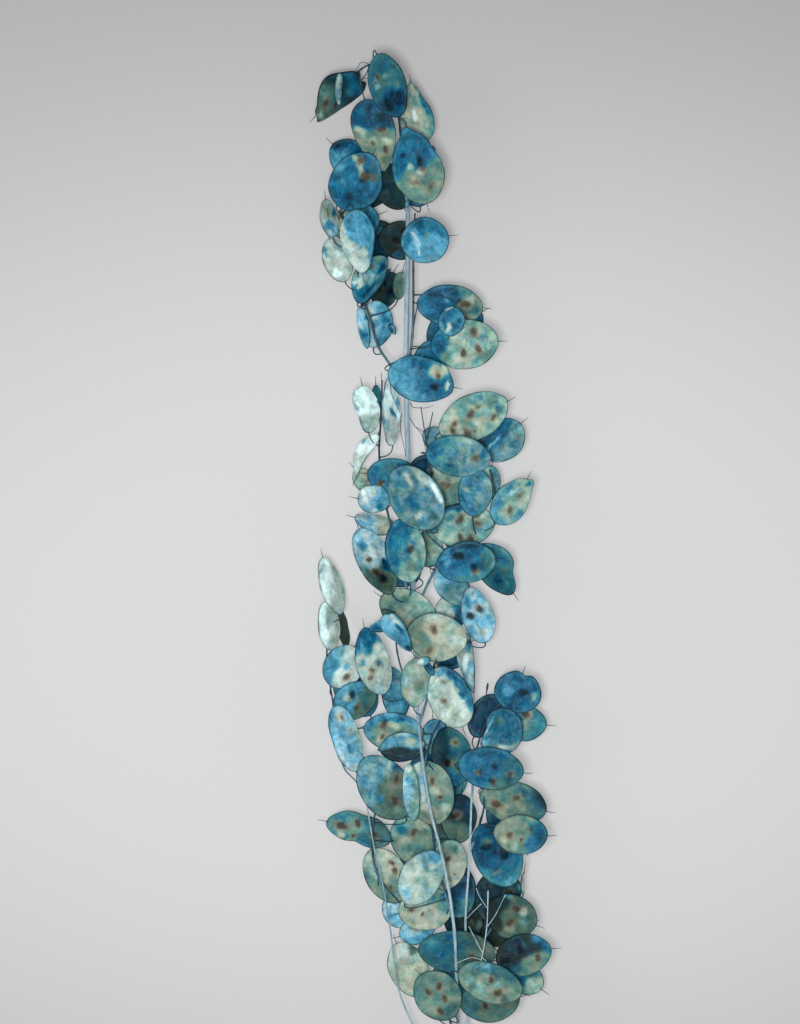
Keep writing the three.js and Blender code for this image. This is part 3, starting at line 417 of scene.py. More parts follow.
SPRAYS["centre_spray"] = SprayPlan(
    stalk=((-7.5, 183, 35), (-2, 200, 31), (2.5, 221.5, 30), (10, 241.5, 30),
           (18.5, 258.5, 30), (24, 273.5, 30)),
    pods=(
        P(16.5, 230, 35, 26.5, 18.5, 0, 18, DEEP),
        P(14.5, 258.5, 60, 28, 22.5, 0, 22, MILK, BLUE, 0, 0.15),
        P(24.5, 226.5, -80, 37.5, 20, 55, 28, PALE, ICE, -80, 0.1, washes=((26, 236.5, 2, SKY, 90,
          3), (24, 226, 2, SNOW, 80, 3)), egg=-0.3, point=0.2),
        P(31, 256.5, 107, 37.5, 25.5, 32, 34, ICE, ICE, 110, 0.2, ((26.8, 256, 1.15, 1.1), (33,
          260.5, 1.15, 1.1)), rim=((-140, -2.2, 40),), washes=((30.5, 249, 1, PALE, -60, 3), (35.5,
          245, 2.5, MILK), (23.5, 267, 2.5, SKY, -60, 2.5), (38, 259, 1.2, PALE, 90, 2), (27, 245,
          2, SKY)), egg=-0.12),
        P(4, 242, 170, 38.5, 32.5, 0, 42, CREAM, SAGE, 200, 0.15, ((2.5, 247, 1.4, 0.9), (8, 249,
          0.9, 0.6), (-0.5, 233, 1.25, 0.85), (-7, 240.5, 0.7, 0.6)), rim=((0, 0.6, 30),),
          washes=((5, 256.5, 2, MILK, 10, 3), (19, 253, 3, SKY), (-1, 232.5, 3, SAGE), (14.5, 239.5,
          4, MILK), (-7.5, 244.5, 4, SAGE), (7.5, 242, 4, CREAM))),
        P(-9.5, 212, 85, 32, 22.5, 30, 36, MINT, MINT, 200, 0.1, ((-7, 215, 0.8, 0.4),),
          washes=((-7, 219.5, 3, MINT), (-12, 204, 3, MILK), (-16.5, 213.5, 2.2, ICE, 90, 2), (-8,
          210, 4, SAGE))),
        P(13.5, 202, -68, 41.5, 29.5, 15, 42, MILK, BLUE, 42, 0.5, ((9, 212.5, 1, 0.7), (9, 199.5,
          1.3, 0.8), (5, 206.5, 0.7, 0.6)), washes=((2, 201.5, 2.4, MINT, 80, 2.5), (6.5, 218, 2.2,
          SKY), (12.5, 204, 4, MILK), (21.5, 204, 2.6, BLUE), (18.5, 211, 2.5, SKY), (16, 192, 4,
          MINT), (9, 187, 4, MILK))),
    ),
    flaps=(
        P(-1, 222, -55, 12, 5.5, 20, 44, DEEP, BLUE),
        P(-4.5, 226, 20, 9, 6, -20, 44, ICE, SKY),
    ),
)
SPRAYS["inner_left_spray"] = SprayPlan(
    stalk=((-9, 197, 32), (-14, 208, 29), (-20, 223.5, 28), (-22.5, 240, 28),
           (-18.5, 258.5, 28)),
    pods=(
        P(-23.5, 204, 100, 34.5, 24, 40, 18, SKY, TEAL, 0, 0.3),
        P(-14.5, 258.5, 150, 40, 29.5, 0, 32, SAGE, MINT, 60, 0.3, ((-10.5, 262, 1, 0.6), (-12.5,
          251, 0.9, 0.8)), washes=((-26.5, 259, 4, MOSS), (-2.5, 264, 4, MINT), (-17, 266.5, 4,
          SAGE))),
        P(-22, 245, -52, 29, 17, 35, 42, SKY, ICE, 100, 0.2, rim=((100, 1.5, 18), (-100, -2, 24)),
          washes=((-23, 253, 1.6, PALE, -50, 3), (-17, 239.5, 2.5, SKY), (-19.5, 247, 1.6, BLUE,
          -50, 3), (-14.5, 235, 2, DEEP)), twist=3),
        P(-38, 226, 105, 44, 25.5, 25, 38, MILK, BLUE, 115, 0.3, ((-39.2, 220, 0.9, 0.8), (-40, 215,
          1.2, 0.9), (-35, 224, 0.7, 0.7)), washes=((-29.5, 232.5, 1.6, PALE, -75, 4), (-34.5, 236,
          3, PALE), (-43.5, 242, 4, BLUE), (-45, 235, 2, SKY, -80, 2), (-40, 220.5, 3, CREAM), (-45,
          225, 2.5, SKY), (-34, 225, 3, MIST)), egg=-0.12),
    ),
    flaps=(
        P(-33.5, 249, 15, 15, 9, -30, 40, BLUE, SKY, 90, 0.1, washes=((-37.5, 252, 1.5, ICE, 30,
          2),), twist=3),
    ),
    slim=0.7,
)
SPRAYS["outer_left_spray"] = SprayPlan(
    stalk=((-42.5, 135, 33), (-49.5, 145.5, 32), (-57.5, 154.5, 30), (-62, 176.5, 28),
           (-65.5, 201.5, 26), (-68.5, 221.5, 26), (-68.5, 240, 26), (-64.5, 258.5, 26)),
    pods=(
        P(-61.5, 252.5, 110, 37.5, 20, 62, 12, OLIVE, rim=((0, 0.8, 20),)),
        P(-66, 276, 107, 38.5, 22.5, 48, 28, SNOW, MILK, 0, 0, ((-65, 282, 0.8, 0.5), (-65, 275.5,
          0.7, 0.45)), rim=((0, 1.2, 30), (180, 0.5, 30)), washes=((-72.5, 287, 1.4, ICE, 70, 3),
          (-65.5, 260.5, 3, MILK))),
        P(-68, 249.5, 98, 32, 21.5, 46, 24, SNOW, MILK, 0, 0, ((-68.5, 251.5, 0.7, 0.4),),
          rim=((180, -1.8, 40), (0, 0.8, 30))),
        P(-58, 222, 60, 29.5, 26.5, 0, 24, PALE, SKY, 160, 0.05, ((-55.4, 215.4),), washes=((-64,
          227.5, 3, SKY), (-53.5, 231, 3, PALE), (-56, 222.5, 3, ICE))),
        P(-50.5, 199.5, 30, 30.5, 25.5, 10, 30, SKY, MOSS, -25, 0.15, ((-52, 204, 1.1), (-49, 195,
          0.9)), washes=((-65, 200, 4, SKY), (-69.5, 191.5, 3, ICE), (-55, 201, 3, MILK), (-44.5,
          194, 4, MOSS))),
        P(-56.5, 174.5, 108, 44, 24, 35, 40, ICE, ICE, -80, 0.35, ((-59, 188.5, 0.8, 0.8), (-52.5,
          180.5, 0.7, 0.7)), rim=((200, -2.5, 35),), washes=((-61.5, 189, 2.6, CREAM), (-48, 174.5,
          1.5, CREAM, -75, 5), (-54, 179.5, 3, MILK), (-66.5, 189, 2, SKY, 80, 3), (-53, 167.5, 2,
          SKY, -60, 2), (-58, 156.5, 2, SKY))),
        P(-50, 205, 120, 38, 28, 0, 0, BLUE),
    ),
    slim=0.5,
)
SPRAYS["lower_left_spray"] = SprayPlan(
    stalk=((-31.5, 76.5, 43), (-37, 90, 38), (-38.5, 108, 33), (-36, 125.5, 31),
           (-30.5, 133.5, 31)),
    pods=(
        P(-22.5, 56, -50, 22.5, 17.5, 0, 16, ICE),
        P(-29.5, 82, 120, 38.5, 28, 0, 24, CREAM, SAGE, -90, 0.1, ((-25.5, 90.5, 0.8), (-23.5, 85,
          1), (-26, 74, 0.7), (-35, 86, 0.5)), washes=((-34.5, 88, 4, CREAM), (-37, 77, 3, SAGE),
          (-29.5, 72, 3, SAGE), (-33.5, 96.5, 3, MINT), (-25, 80, 3, SAGE))),
        P(-47.2, 112.8, 164, 43, 23.5, 0, 26, TEAL, SLATE, 0, 0.25, ((-59, 115, 1.4), (-48.5, 116.5,
          1.1), (-51.5, 108, 0.6), (-37, 109, 1.2)), rim=((250, -2.4, 16), (72, -2.2, 22)),
          washes=((-60, 109.5, 3, CREAM), (-63.5, 118, 3.4, SAGE), (-52.5, 113.5, 5, SAGE), (-37,
          109.5, 3, TEAL), (-46.5, 102.5, 2, TEAL, -20, 3), (-44, 108, 4, SLATE)), bow=1.5),
        P(-30, 142, 125, 46, 34, 0, 40, MIST, MOSS, -25, -0.02, ((-22, 147.5, 1.15), (-23.5, 133.5,
          1.25)), washes=((-21.5, 157, 4, DEEP), (-33.5, 135, 2.6, BLUE), (-41, 156, 4, MIST),
          (-44.5, 146, 4, SKY), (-24, 140, 4, MOSS), (-21.5, 128, 3, SAGE))),
    ),
)
SPRAYS["lower_mid_spray"] = SprayPlan(
    stalk=((-4, 156, 41), (-1.5, 166.5, 36), (1.5, 176.5, 31), (6.5, 185.5, 30)),
    pods=(
        # The PINE of its lower half is painted shade: the shadowed hollow under this folded pod.
        P(-18.5, 168.5, 5, 29, 20, 0, 34, SKY, PINE, -90, 0.04, BARE, washes=((-13, 172, 3, CREAM),
          (-26.5, 172.5, 2.5, SKY), (-18, 177.5, 2, ICE, 0, 3))),
        P(-24.5, 178.5, 175, 38.5, 26, 8, 28, SAGE, SKY, 100, 0.3, ((-31, 183, 1.25), (-32, 175,
          0.8)), washes=((-40.5, 176.5, 3.4, SKY), (-39.5, 186, 3, BLUE), (-18, 188.5, 4, BLUE),
          (-9.5, 183.5, 4, SKY), (-22.5, 182, 2.6, CREAM, -10, 2), (-33.5, 172.5, 3, CREAM))),
        P(12, 144.5, 70, 30.5, 25.5, 0, 20, PINE, TEAL, 0, 0.2, BARE),
        P(4.5, 173.5, 100, 25.5, 20, 0, 22, SKY, TEAL, -60, 0.2),
        P(14.5, 162, 100, 38.5, 28, 15, 32, SLATE, PINE, 170, 0.3, ((16.5, 171.5, 1, 0.9), (10.5,
          158, 1.3, 1.1)), washes=((16.5, 171.5, 3.2, SAGE), (10.5, 158, 3.2, MURK), (21, 160, 3,
          MOSS), (17, 147, 4, BLUE), (20, 178, 3, TEAL))),
        P(-0.5, 138.5, -75, 42, 33.5, 0, 35, SAGE, PALE, 180, 0.35, ((1.5, 146, 0.9), (7, 135.5,
          0.6)), washes=((-2, 129, 4, CREAM), (9, 143.5, 4, SAGE), (-4.5, 143.5, 2, ICE, -80, 4),
          (10, 129, 3, MINT), (-2, 154.5, 3, SAGE), (2.5, 139, 4, CREAM))),
        P(2, 152, 40, 38, 28, 0, 0, BLUE),
    ),
    flaps=(
        P(-12.5, 139, 95, 37, 12, -18, 46, MINT, ICE, 180, 0.1, washes=((-14, 148.5, 2.2, SKY),
          (-14, 154.5, 2, PALE), (-15.5, 139, 3, ICE, 80, 2))),
    ),
    slim=0.6,
)
SPRAYS["low_centre_spray"] = SprayPlan(
    stalk=((14.5, 56.5, 45), (9.5, 73.5, 37), (4, 93.5, 31), (1.5, 113.5, 28)),
    pods=(
        P(4.5, 113.5, 160, 28, 21.5, 0, 14, MOSS, PINE, 200, 0.4, ((9, 113.5, 1.1),), washes=((2,
          111, 3, SAGE), (11.5, 109.5, 3, OLIVE))),
        P(19.5, 120, 85, 32, 24, 0, 24, PINE, MOSS, -110, 0.2, ((17, 122.5, 1.3),), washes=((19,
          123, 3.5, MOSS), (26, 128, 3, DEEP))),
        P(-10.5, 104.5, 130, 36, 29.5, 0, 20, SAGE, MINT, 100, 0.5, ((-10.5, 110.5, 1.15),),
          washes=((-16.5, 105, 4, MINT), (-8, 100, 4, SAGE), (-19, 112, 3, TEAL))),
        P(12, 89.5, 75, 33.5, 25.5, 0, 28, CREAM, SAGE, 160, 0.2, ((12, 93.5, 0.8), (16.5, 83,
          0.5)), washes=((4, 100, 3, CREAM), (16.5, 100, 3, SAGE), (11.5, 79.5, 3, SAGE))),
        P(20.5, 70, 85, 33.5, 21.5, 0, 18, DEEP, TEAL, -90, 0.3),
        P(-2.5, 60.5, 190, 36, 29.5, 0, 30, CREAM, SAGE, 60, 0.35, ((-12.5, 59.5, 0.9), (-5, 57,
          0.6)), washes=((1, 66.5, 2.6, MIST), (9.5, 69, 2.6, TEAL, 80, 2), (-10, 62, 4, CREAM),
          (4.5, 57, 3, MILK))),
        P(-6, 82, 58, 38.5, 28, 5, 40, MILK, MIST, 40, 0.3, washes=((2.5, 97, 3, SKY, -30, 2), (1,
          89.5, 2.4, CREAM), (-16, 71.5, 2.4, ICE, -80, 2), (-5, 80, 5, MINT), (-12.5, 88.5, 3,
          MINT), (-4, 71.5, 3, MINT))),
        P(-8.5, 44.5, 200, 24, 18.5, 0, 18, ICE, SKY, -60, 0.2, ((-9, 46.5, 1.1), (-3.5, 47.5,
          0.9))),
        P(-2, 88, 200, 40, 29, 0, 0, TEAL),
    ),
)
SPRAYS["right_spray"] = SprayPlan(
    stalk=((28, 136, 40), (29.5, 158.5, 34), (33.5, 174.5, 30), (40, 189.5, 30),
           (48, 198.5, 32)),
    pods=(
        P(37.5, 188.5, 60, 30.5, 22.5, 0, 22, DEEP, DEEP, 100, 0.1, BARE),
        P(63.5, 184, -5, 28, 24, 0, 28, MIST, TEAL, -20, 0.35, ((64, 190.5, 1.2),), washes=((66,
          190.5, 3, CREAM), (62, 183, 3, MINT), (70.5, 179.5, 2.5, TEAL))),
        P(58.5, 205.5, 75, 27.5, 32, 0, 38, BLUE, None, 0, 0, ((62, 205, 1.15, 1.2),), rim=((68,
          -2.6, 13),), washes=((69.5, 203, 2.4, MINT, 60, 1.6), (52, 206, 4, SKY), (48.5, 197.5, 3,
          TEAL), (66.5, 212, 3, BLUE))),
        # Its long thin ICE and MILK streaks are painted highlights on the glossy clear paper.
        P(48, 179.5, -100, 30.5, 29.5, 0, 42, BLUE, MIST, -90, 0.4, BARE, rim=((170, -3.2, 30),
          (213, 2.6, 14), (0, -1.3, 25)), washes=((46, 186.5, 4, SLATE), (39, 182.5, 0.7, ICE, 63,
          11), (36.5, 172, 2, ICE), (48.5, 168.5, 2, MILK, 5, 3)), clear=True),
    ),
    twigs=(
        ((33.5, 174.5, 30), (35.5, 190, 38), (38.5, 211.5, 40)),
    ),
    slim=0.8,
)
SPRAYS["right_lower_spray"] = SprayPlan(
    stalk=((26.5, 100, 44), (32, 114.5, 40), (36, 130, 38), (34.5, 144, 38)),
    pods=(
        P(44.5, 97.5, -62, 44, 32, 0, 42, DEEP, TEAL, -60, 0.2, ((37.5, 102.5, 1.35, 1.2), (49, 98,
          1.35, 1.2), (44, 87.5, 0.9, 0.8)), washes=((37.5, 105.5, 4, SLATE), (49.5, 99.5, 3.5,
          SLATE), (44.5, 84.5, 3, MIST), (52, 80, 3, SKY))),
        P(55.5, 132, -15, 44, 28.5, 0, 38, SAGE, SLATE, 15, 0.62, ((44, 131, 1.25), (57.5, 135, 1.1,
          0.9), (62, 130.5, 0.7, 0.8)), washes=((74.5, 133.5, 3, PINE, -50, 3), (42, 126.5, 3,
          MOSS), (63.5, 138, 3, SLATE), (55, 130, 4, SAGE), (48.5, 142.5, 3, MOSS))),
        P(60, 111.5, -3, 34.5, 26.5, 0, 48, SAGE, BLUE, -25, 0.5, ((52.5, 111, 1.05), (60.5, 108,
          0.6), (66.5, 115, 0.5)), washes=((49.5, 108, 3, CREAM), (61.5, 112.5, 4, SAGE), (67.5,
          117.5, 3, TEAL), (56.5, 103, 3, MINT))),
        P(40, 155.5, -8, 42, 28.5, 0, 50, BLUE, SLATE, -35, 0.4, ((42.5, 156.7), (32.1, 152.9),
          (52.9, 151.7), (40.8, 147)), washes=((31.5, 152.5, 2.4, SAGE), (53.5, 152, 3.2, SAGE),
          (21, 156.5, 2, TEAL, 80, 3), (43, 147, 3, SLATE))),
        P(54, 117, -62, 40, 29, 0, 0, BLUE),
    ),
)
SPRAYS["base_right_spray"] = SprayPlan(
    stalk=((24.5, 22, 30.5), (33.5, 36.5, 32), (42.5, 50, 32), (48, 66.5, 30), (52, 80, 30)),
    pods=(
        P(22.5, 52.5, 100, 33.5, 26.5, 0, 14, PINE, MURK, 0, -0.1, ((27, 47.5, 1.1),),
          washes=((33.5, 47.5, 3, MOSS), (27.5, 48.5, 2.5, MOSS))),
        P(45.5, 68.5, 70, 37.5, 30.5, 0, 18, PINE, PINE, -90, 0.1, ((53, 70.5, 1.2),), washes=((54,
          71.5, 3.5, MOSS), (39.5, 69, 3, PINE), (60.5, 74, 2.5, TEAL))),
        P(62, 77.5, 88, 14, 7, 68, 26, MILK),
        P(54, 56, -20, 34.5, 29.5, 0, 38.5, MOSS, MURK, 165, 0.25, ((57.5, 61, 1), (53.5, 52, 1.2)),
          washes=((62, 59, 3, CREAM), (53.5, 48, 3.5, SAGE), (62, 51.5, 3, SAGE), (52, 71, 3, TEAL),
          (42.5, 52.5, 4, MURK), (48.5, 65, 2.4, MURK))),
        P(64.5, 12.5, -35, 24, 21.5, 0, 22, TEAL, MINT, -60, 0.3),
        P(62, 31, 12, 36, 28, 0, 42.5, MURK, SAGE, -45, 0.28, ((59.5, 35, 1.35), (49.5, 27.5, 1.5),
          (71.5, 29, 1.1)), washes=((71.5, 42, 3, BLUE, -30, 2), (77.5, 36, 2.5, BLUE, -60, 2),
          (57.5, 38, 4.5, NAVY), (68, 26, 3.4, SAGE), (49.5, 27.5, 5, PINE), (60, 33.5, 3, PINE),
          (56, 21, 3, SLATE))),
        P(18, 32, 175, 49.5, 29.5, 0, 36.5, SLATE, MOSS, -5, 0.3, ((28, 28.5, 1.1),), washes=((1,
          36.5, 5, TEAL), (13, 42.5, 3, DEEP), (7, 30.5, 3, BLUE), (30, 35, 3.5, MOSS))),
        P(48, 45, 10, 38, 28, 0, 0, MURK, PINE),
    ),
)
SPRAYS["base_spray"] = SprayPlan(
    stalk=((20, -40, 21.5), (15, -20, 29), (11, -5.5, 31), (12.5, 10, 31)),
    pods=(
        P(-14, 18.5, 115, 38.5, 26.5, 0, 22, CREAM, MILK, 90, 0.3, washes=((-11, 32.5, 4, MOSS),)),
        P(40, 0, 8, 38.5, 29.5, 0, 38, MOSS, SLATE, 180, 0.4, ((36.7, -3.3),)),
        P(5, 4.5, 130, 34.5, 30.5, 0, 46, SAGE, MOSS, -60, 0.5, ((-1.2, 6.7), (5.8, 10.8), (9.6,
          2.5), (6.7, -5.8))),
        P(39.5, 14, -18, 42.5, 26.5, 0, 54, SAGE, SLATE, 60, 0.45, ((40.5, 16, 0.95), (45, 7.5,
          1.2)), washes=((36.5, 24, 3, MIST, -10, 2.5), (33, 10.5, 4, MINT), (26, 14.5, 3, MINT),
          (43.5, 13.5, 3, MIST), (56, 12.5, 2.4, SLATE, -60, 3), (48.5, 3, 3, MOSS))),
        P(14, 8, 60, 38, 28, 0, 0, TEAL),
    ),
)


# ---------------------------------------------------------------- shapes


class Salt(IntEnum):
    """What a draw is for. A purpose with several draws takes the numbers that follow."""

    CUP = 1
    BEND = 2
    TWIST = 3
    PITCH = 4
    ROLL = 5
    GRAIN_ALONG = 6
    GRAIN_ACROSS = 7
    SHADE = 8
    BEAK_ACROSS = 21
    BEAK_UP = 22
    WAVE_WAY = 31
    WAVE_START = 41
    CREASE_WAY = 51
    CREASE_START = 61
    SEED_FORCE = 70
    FAINT_THERE = 80
    FAINT_ALONG = 84
    FAINT_ACROSS = 88
    FAINT_FORCE = 92


DRAW_STEPS = (12.9898, 78.233)  # of the sine's angle, for a pod's number and for a salt
DRAW_STRETCH = 43758.5453  # large multiple whose fraction is the draw


def draw(index: int, salt: int) -> float:
    """A repeatable draw between -1 and 1.

    Args:
        index: number of the pod or twig.
        salt: number of the purpose.

    Returns:
        Twice the fraction of a large multiple of a sine, less one.
    """
    value = math.sin(index * DRAW_STEPS[0] + salt * DRAW_STEPS[1]) * DRAW_STRETCH
    return 2 * (value - math.floor(value)) - 1


def smooth(low: float, high: float, value: Array) -> Array:
    """An S-shaped step from 0 at `low` to 1 at `high`: 3q^2 - 2q^3."""
    q = np.clip((value - low) / (high - low), 0, 1)
    return q * q * (3 - 2 * q)


def unit(vectors: Array) -> Array:
    """Vectors at length 1."""
    return vectors / np.maximum(np.linalg.norm(vectors, axis=-1, keepdims=True), 1e-9)


def linked(name: str, data: bpy.types.ID) -> bpy.types.Object:
    """An object of some data, linked to the scene.

    Args:
        name: its name.
        data: a mesh, a lamp or a camera.

    Returns:
        The object, at the origin.
    """
    thing = bpy.data.objects.new(name, data)
    bpy.context.scene.collection.objects.link(thing)
    return thing


@dataclass
class Surface:
    """A closed surface of triangles, with named numbers on its points.

    points: (n, 3) in mm. triangles: (m, 3). marks: name to (n,) numbers.
    """

    points: Array
    triangles: Array
    marks: dict[str, Array]

    @staticmethod
    def joined(parts: list[Surface]) -> Surface:
        """Several surfaces as one, which keeps each one's points.

        Args:
            parts: the surfaces, with the same marks or fewer.

        Returns:
            One surface; a mark that a part lacks is 0 there.
        """
        starts = np.cumsum([0] + [len(p.points) for p in parts[:-1]])
        names = sorted({name for p in parts for name in p.marks})
        return Surface(
            np.vstack([p.points for p in parts]),
            np.vstack([p.triangles + s for p, s in zip(parts, starts)]),
            {n: np.concatenate([p.marks.get(n, np.zeros(len(p.points))) for p in parts])
             for n in names},
        )

    def piece(self, name: str, finish: bpy.types.Material) -> bpy.types.Object:
        """The surface as an object at the origin, in metres in the part's frame.

        Args:
            name: the object's name.
            finish: its material.

        Returns:
            The object, linked to the scene.
        """
        mesh = bpy.data.meshes.new(name)
        count = len(self.triangles)
        mesh.vertices.add(len(self.points))
        mesh.vertices.foreach_set("co", ((self.points + SHIFT) * MM).astype(np.float32).ravel())
        mesh.loops.add(count * 3)
        mesh.loops.foreach_set("vertex_index", self.triangles.astype(np.int32).ravel())
        mesh.polygons.add(count)
        mesh.polygons.foreach_set("loop_start", np.arange(0, count * 3, 3, dtype=np.int32))
        mesh.polygons.foreach_set("use_smooth", np.ones(count, dtype=bool))
        for mark, values in self.marks.items():
            layer = mesh.attributes.new(mark, "FLOAT", "POINT")
            layer.data.foreach_set("value", values.astype(np.float32))
        mesh.update(calc_edges=True)
        mesh.validate()
        mesh.materials.append(finish)
        return linked(name, mesh)


def ring_faces(rows: int, sides: int, start: int = 0) -> Array:
    """Triangles between neighbouring rings of points.

    Args:
        rows: number of rings.
        sides: points in a ring.
        start: number of the first point.

    Returns:
        (2 * (rows - 1) * sides, 3): each cell k, k+1 of rings i, i+1 is cut in two.
    """
    i, k = np.meshgrid(np.arange(rows - 1), np.arange(sides), indexing="ij")
    a = start + i * sides + k
    b = start + i * sides + (k + 1) % sides
    return np.concatenate([
        np.stack([a, b, b + sides], -1).reshape(-1, 3),
        np.stack([a, b + sides, a + sides], -1).reshape(-1, 3),
    ])


def fan(pole: int, ring: Array) -> Array:
    """Triangles from a pole to each edge of a closed ring."""
    return np.stack([np.full(len(ring), pole), ring, np.roll(ring, -1)], -1)


def shell_faces(rings: int, sides: int) -> Array:
    """Triangles of a closed shell of two faces that share their outermost ring.

    Args:
        rings: rings of the front, round a middle point. The back lacks the outermost.
        sides: points in a ring.

    Returns:
        (n, 3) numbers of points: front middle, front rings, back middle, back rings.
    """
    inside = 1 + (rings - 1) * sides
    front = inside + sides
    centre = fan(0, np.arange(sides) + 1)
    top = np.concatenate([centre, ring_faces(rings, sides, 1)[:, ::-1]])
    down = np.concatenate([centre[:, ::-1], ring_faces(rings - 1, sides, 1)]) + front
    edge, edge_back = np.arange(sides) + inside, np.arange(sides) + front + inside - sides
    following, following_back = np.roll(edge, -1), np.roll(edge_back, -1)
    seam = np.concatenate([np.stack([edge_back, following_back, following], -1),
                           np.stack([edge_back, following, edge], -1)])
    return np.concatenate([top, down, seam])


@dataclass(frozen=True)
class Curve:
    """A smooth curve through rows of x, y, z."""

    rows: tuple[Row, ...]

    def dense(self) -> tuple[Array, Array]:
        """Many points of the curve and their lengths along it.

        Each stretch is a cubic whose slopes at its ends follow centripetal Catmull-Rom: knots
        are spaced by the square root of the distance between points.

        Returns:
            (n, 3) points and (n,) lengths from the start, mm.
        """
        p = np.array([row[:3] for row in self.rows], float)
        p = np.vstack([2 * p[0] - p[1], p, 2 * p[-1] - p[-2]])
        dt = np.sqrt(np.linalg.norm(np.diff(p, axis=0), axis=1))[:, None]
        d0, d1, d2 = dt[:-2], dt[1:-1], dt[2:]
        p0, p1, p2, p3 = p[:-3], p[1:-2], p[2:-1], p[3:]
        m1 = ((p1 - p0) / d0 - (p2 - p0) / (d0 + d1) + (p2 - p1) / d1) * d1
        m2 = ((p2 - p1) / d1 - (p3 - p1) / (d1 + d2) + (p3 - p2) / d2) * d1
        q = np.linspace(0, 1, 40)[None, :, None]
        p1, p2, m1, m2 = (v[:, None, :] for v in (p1, p2, m1, m2))
        points = (p1 + m1 * q + (3 * (p2 - p1) - 2 * m1 - m2) * q**2
                  + (2 * (p1 - p2) + m1 + m2) * q**3)
        points = np.vstack([points[:, :-1].reshape(-1, 3), points[-1, -1:]])
        steps = np.linalg.norm(np.diff(points, axis=0), axis=1)
        return points, np.concatenate([[0], np.cumsum(steps)])

    def length(self) -> float:
        """Length of the curve, mm."""
        return float(self.dense()[1][-1])

    def at(self, shares: Array) -> Array:
        """Points at shares of the curve's length.

        Args:
            shares: (n,) from 0 to 1.

        Returns:
            (n, 3) points.
        """
        points, lengths = self.dense()
        return np.stack([np.interp(shares * lengths[-1], lengths, points[:, k])
                         for k in range(3)], -1)


def bend(start: Array, middle: Array, end: Array, count: int) -> Array:
    """Points of a quadratic Bezier curve: (1-q)^2 A + 2q(1-q) B + q^2 C."""
    q = np.linspace(0, 1, count)[:, None]
    return (1 - q) ** 2 * start + 2 * q * (1 - q) * middle + q**2 * end


RIB_CRESTS = 5
RIB_TURN = 40.0  # mm along for one radian
TIP_REACH = 0.5  # length of a tube's end, as a share of its radius
LEVEL_BIAS = (0, 0, -0.3)  # so that a run that is nearly level is squared to Z


def tube(centres: Array, radii: Array, sides: int = 8, age: Array | float = 1.0,
         ribs: float = 0.0, seed: int = 0) -> Surface:
    """A round tube along points, with closed tapered ends.

    A ring at each centre has points at the centre + radius (side cos a + over sin a), where side
    is level and square to the tangent, and over is square to both. Ribs swell the radius by a
    wave of five crests round it that turns slowly along it.

    Args:
        centres: (n, 3) points of its middle line.
        radii: (n,) radii.
        sides: points in a ring.
        age: 0 for pale wood to 1 for dark wire, one number or one for each centre.
        ribs: height of the ribs as a share of the radius.
        seed: shifts the ribs.

    Returns:
        The surface, with marks age and run (mm along it).
    """
    count = len(centres)
    tangent = unit(np.gradient(centres, axis=0))
    axis = np.eye(3)[int(np.argmin(np.abs(tangent.mean(0)) + LEVEL_BIAS))]
    side = unit(np.cross(axis, tangent))
    over = np.cross(tangent, side)
    angle = np.linspace(0, 2 * np.pi, sides, endpoint=False)[None, :]
    run = np.concatenate([[0], np.cumsum(np.linalg.norm(np.diff(centres, axis=0), axis=1))])
    swell = 1 + ribs * np.cos(RIB_CRESTS * angle + seed + run[:, None] / RIB_TURN)
    reach = (radii[:, None] * swell)[..., None]
    rings = centres[:, None] + reach * (side[:, None] * np.cos(angle)[..., None]
                                        + over[:, None] * np.sin(angle)[..., None])
    ends = np.stack([centres[0] - tangent[0] * radii[0] * TIP_REACH,
                     centres[-1] + tangent[-1] * radii[-1] * TIP_REACH])
    first, last = np.arange(sides), np.arange(sides) + (count - 1) * sides
    faces = np.concatenate([
        ring_faces(count, sides), fan(count * sides, first)[:, ::-1],
        fan(count * sides + 1, last),
    ])
    ages = np.broadcast_to(np.asarray(age, float), (count,))
    return Surface(
        np.vstack([rings.reshape(-1, 3), ends]), faces,
        {"age": np.concatenate([np.repeat(ages, sides), [ages[0], ages[-1]]]),
         "run": np.concatenate([np.repeat(run, sides), [run[0], run[-1]]])},
    )


def row_radii(rows: tuple[Row, ...], shares: Array) -> Array:
    """Radii at shares of a limb: straight from row to row, as if they were evenly spaced."""
    return np.interp(shares * (len(rows) - 1), np.arange(len(rows)), [row[3] for row in rows])


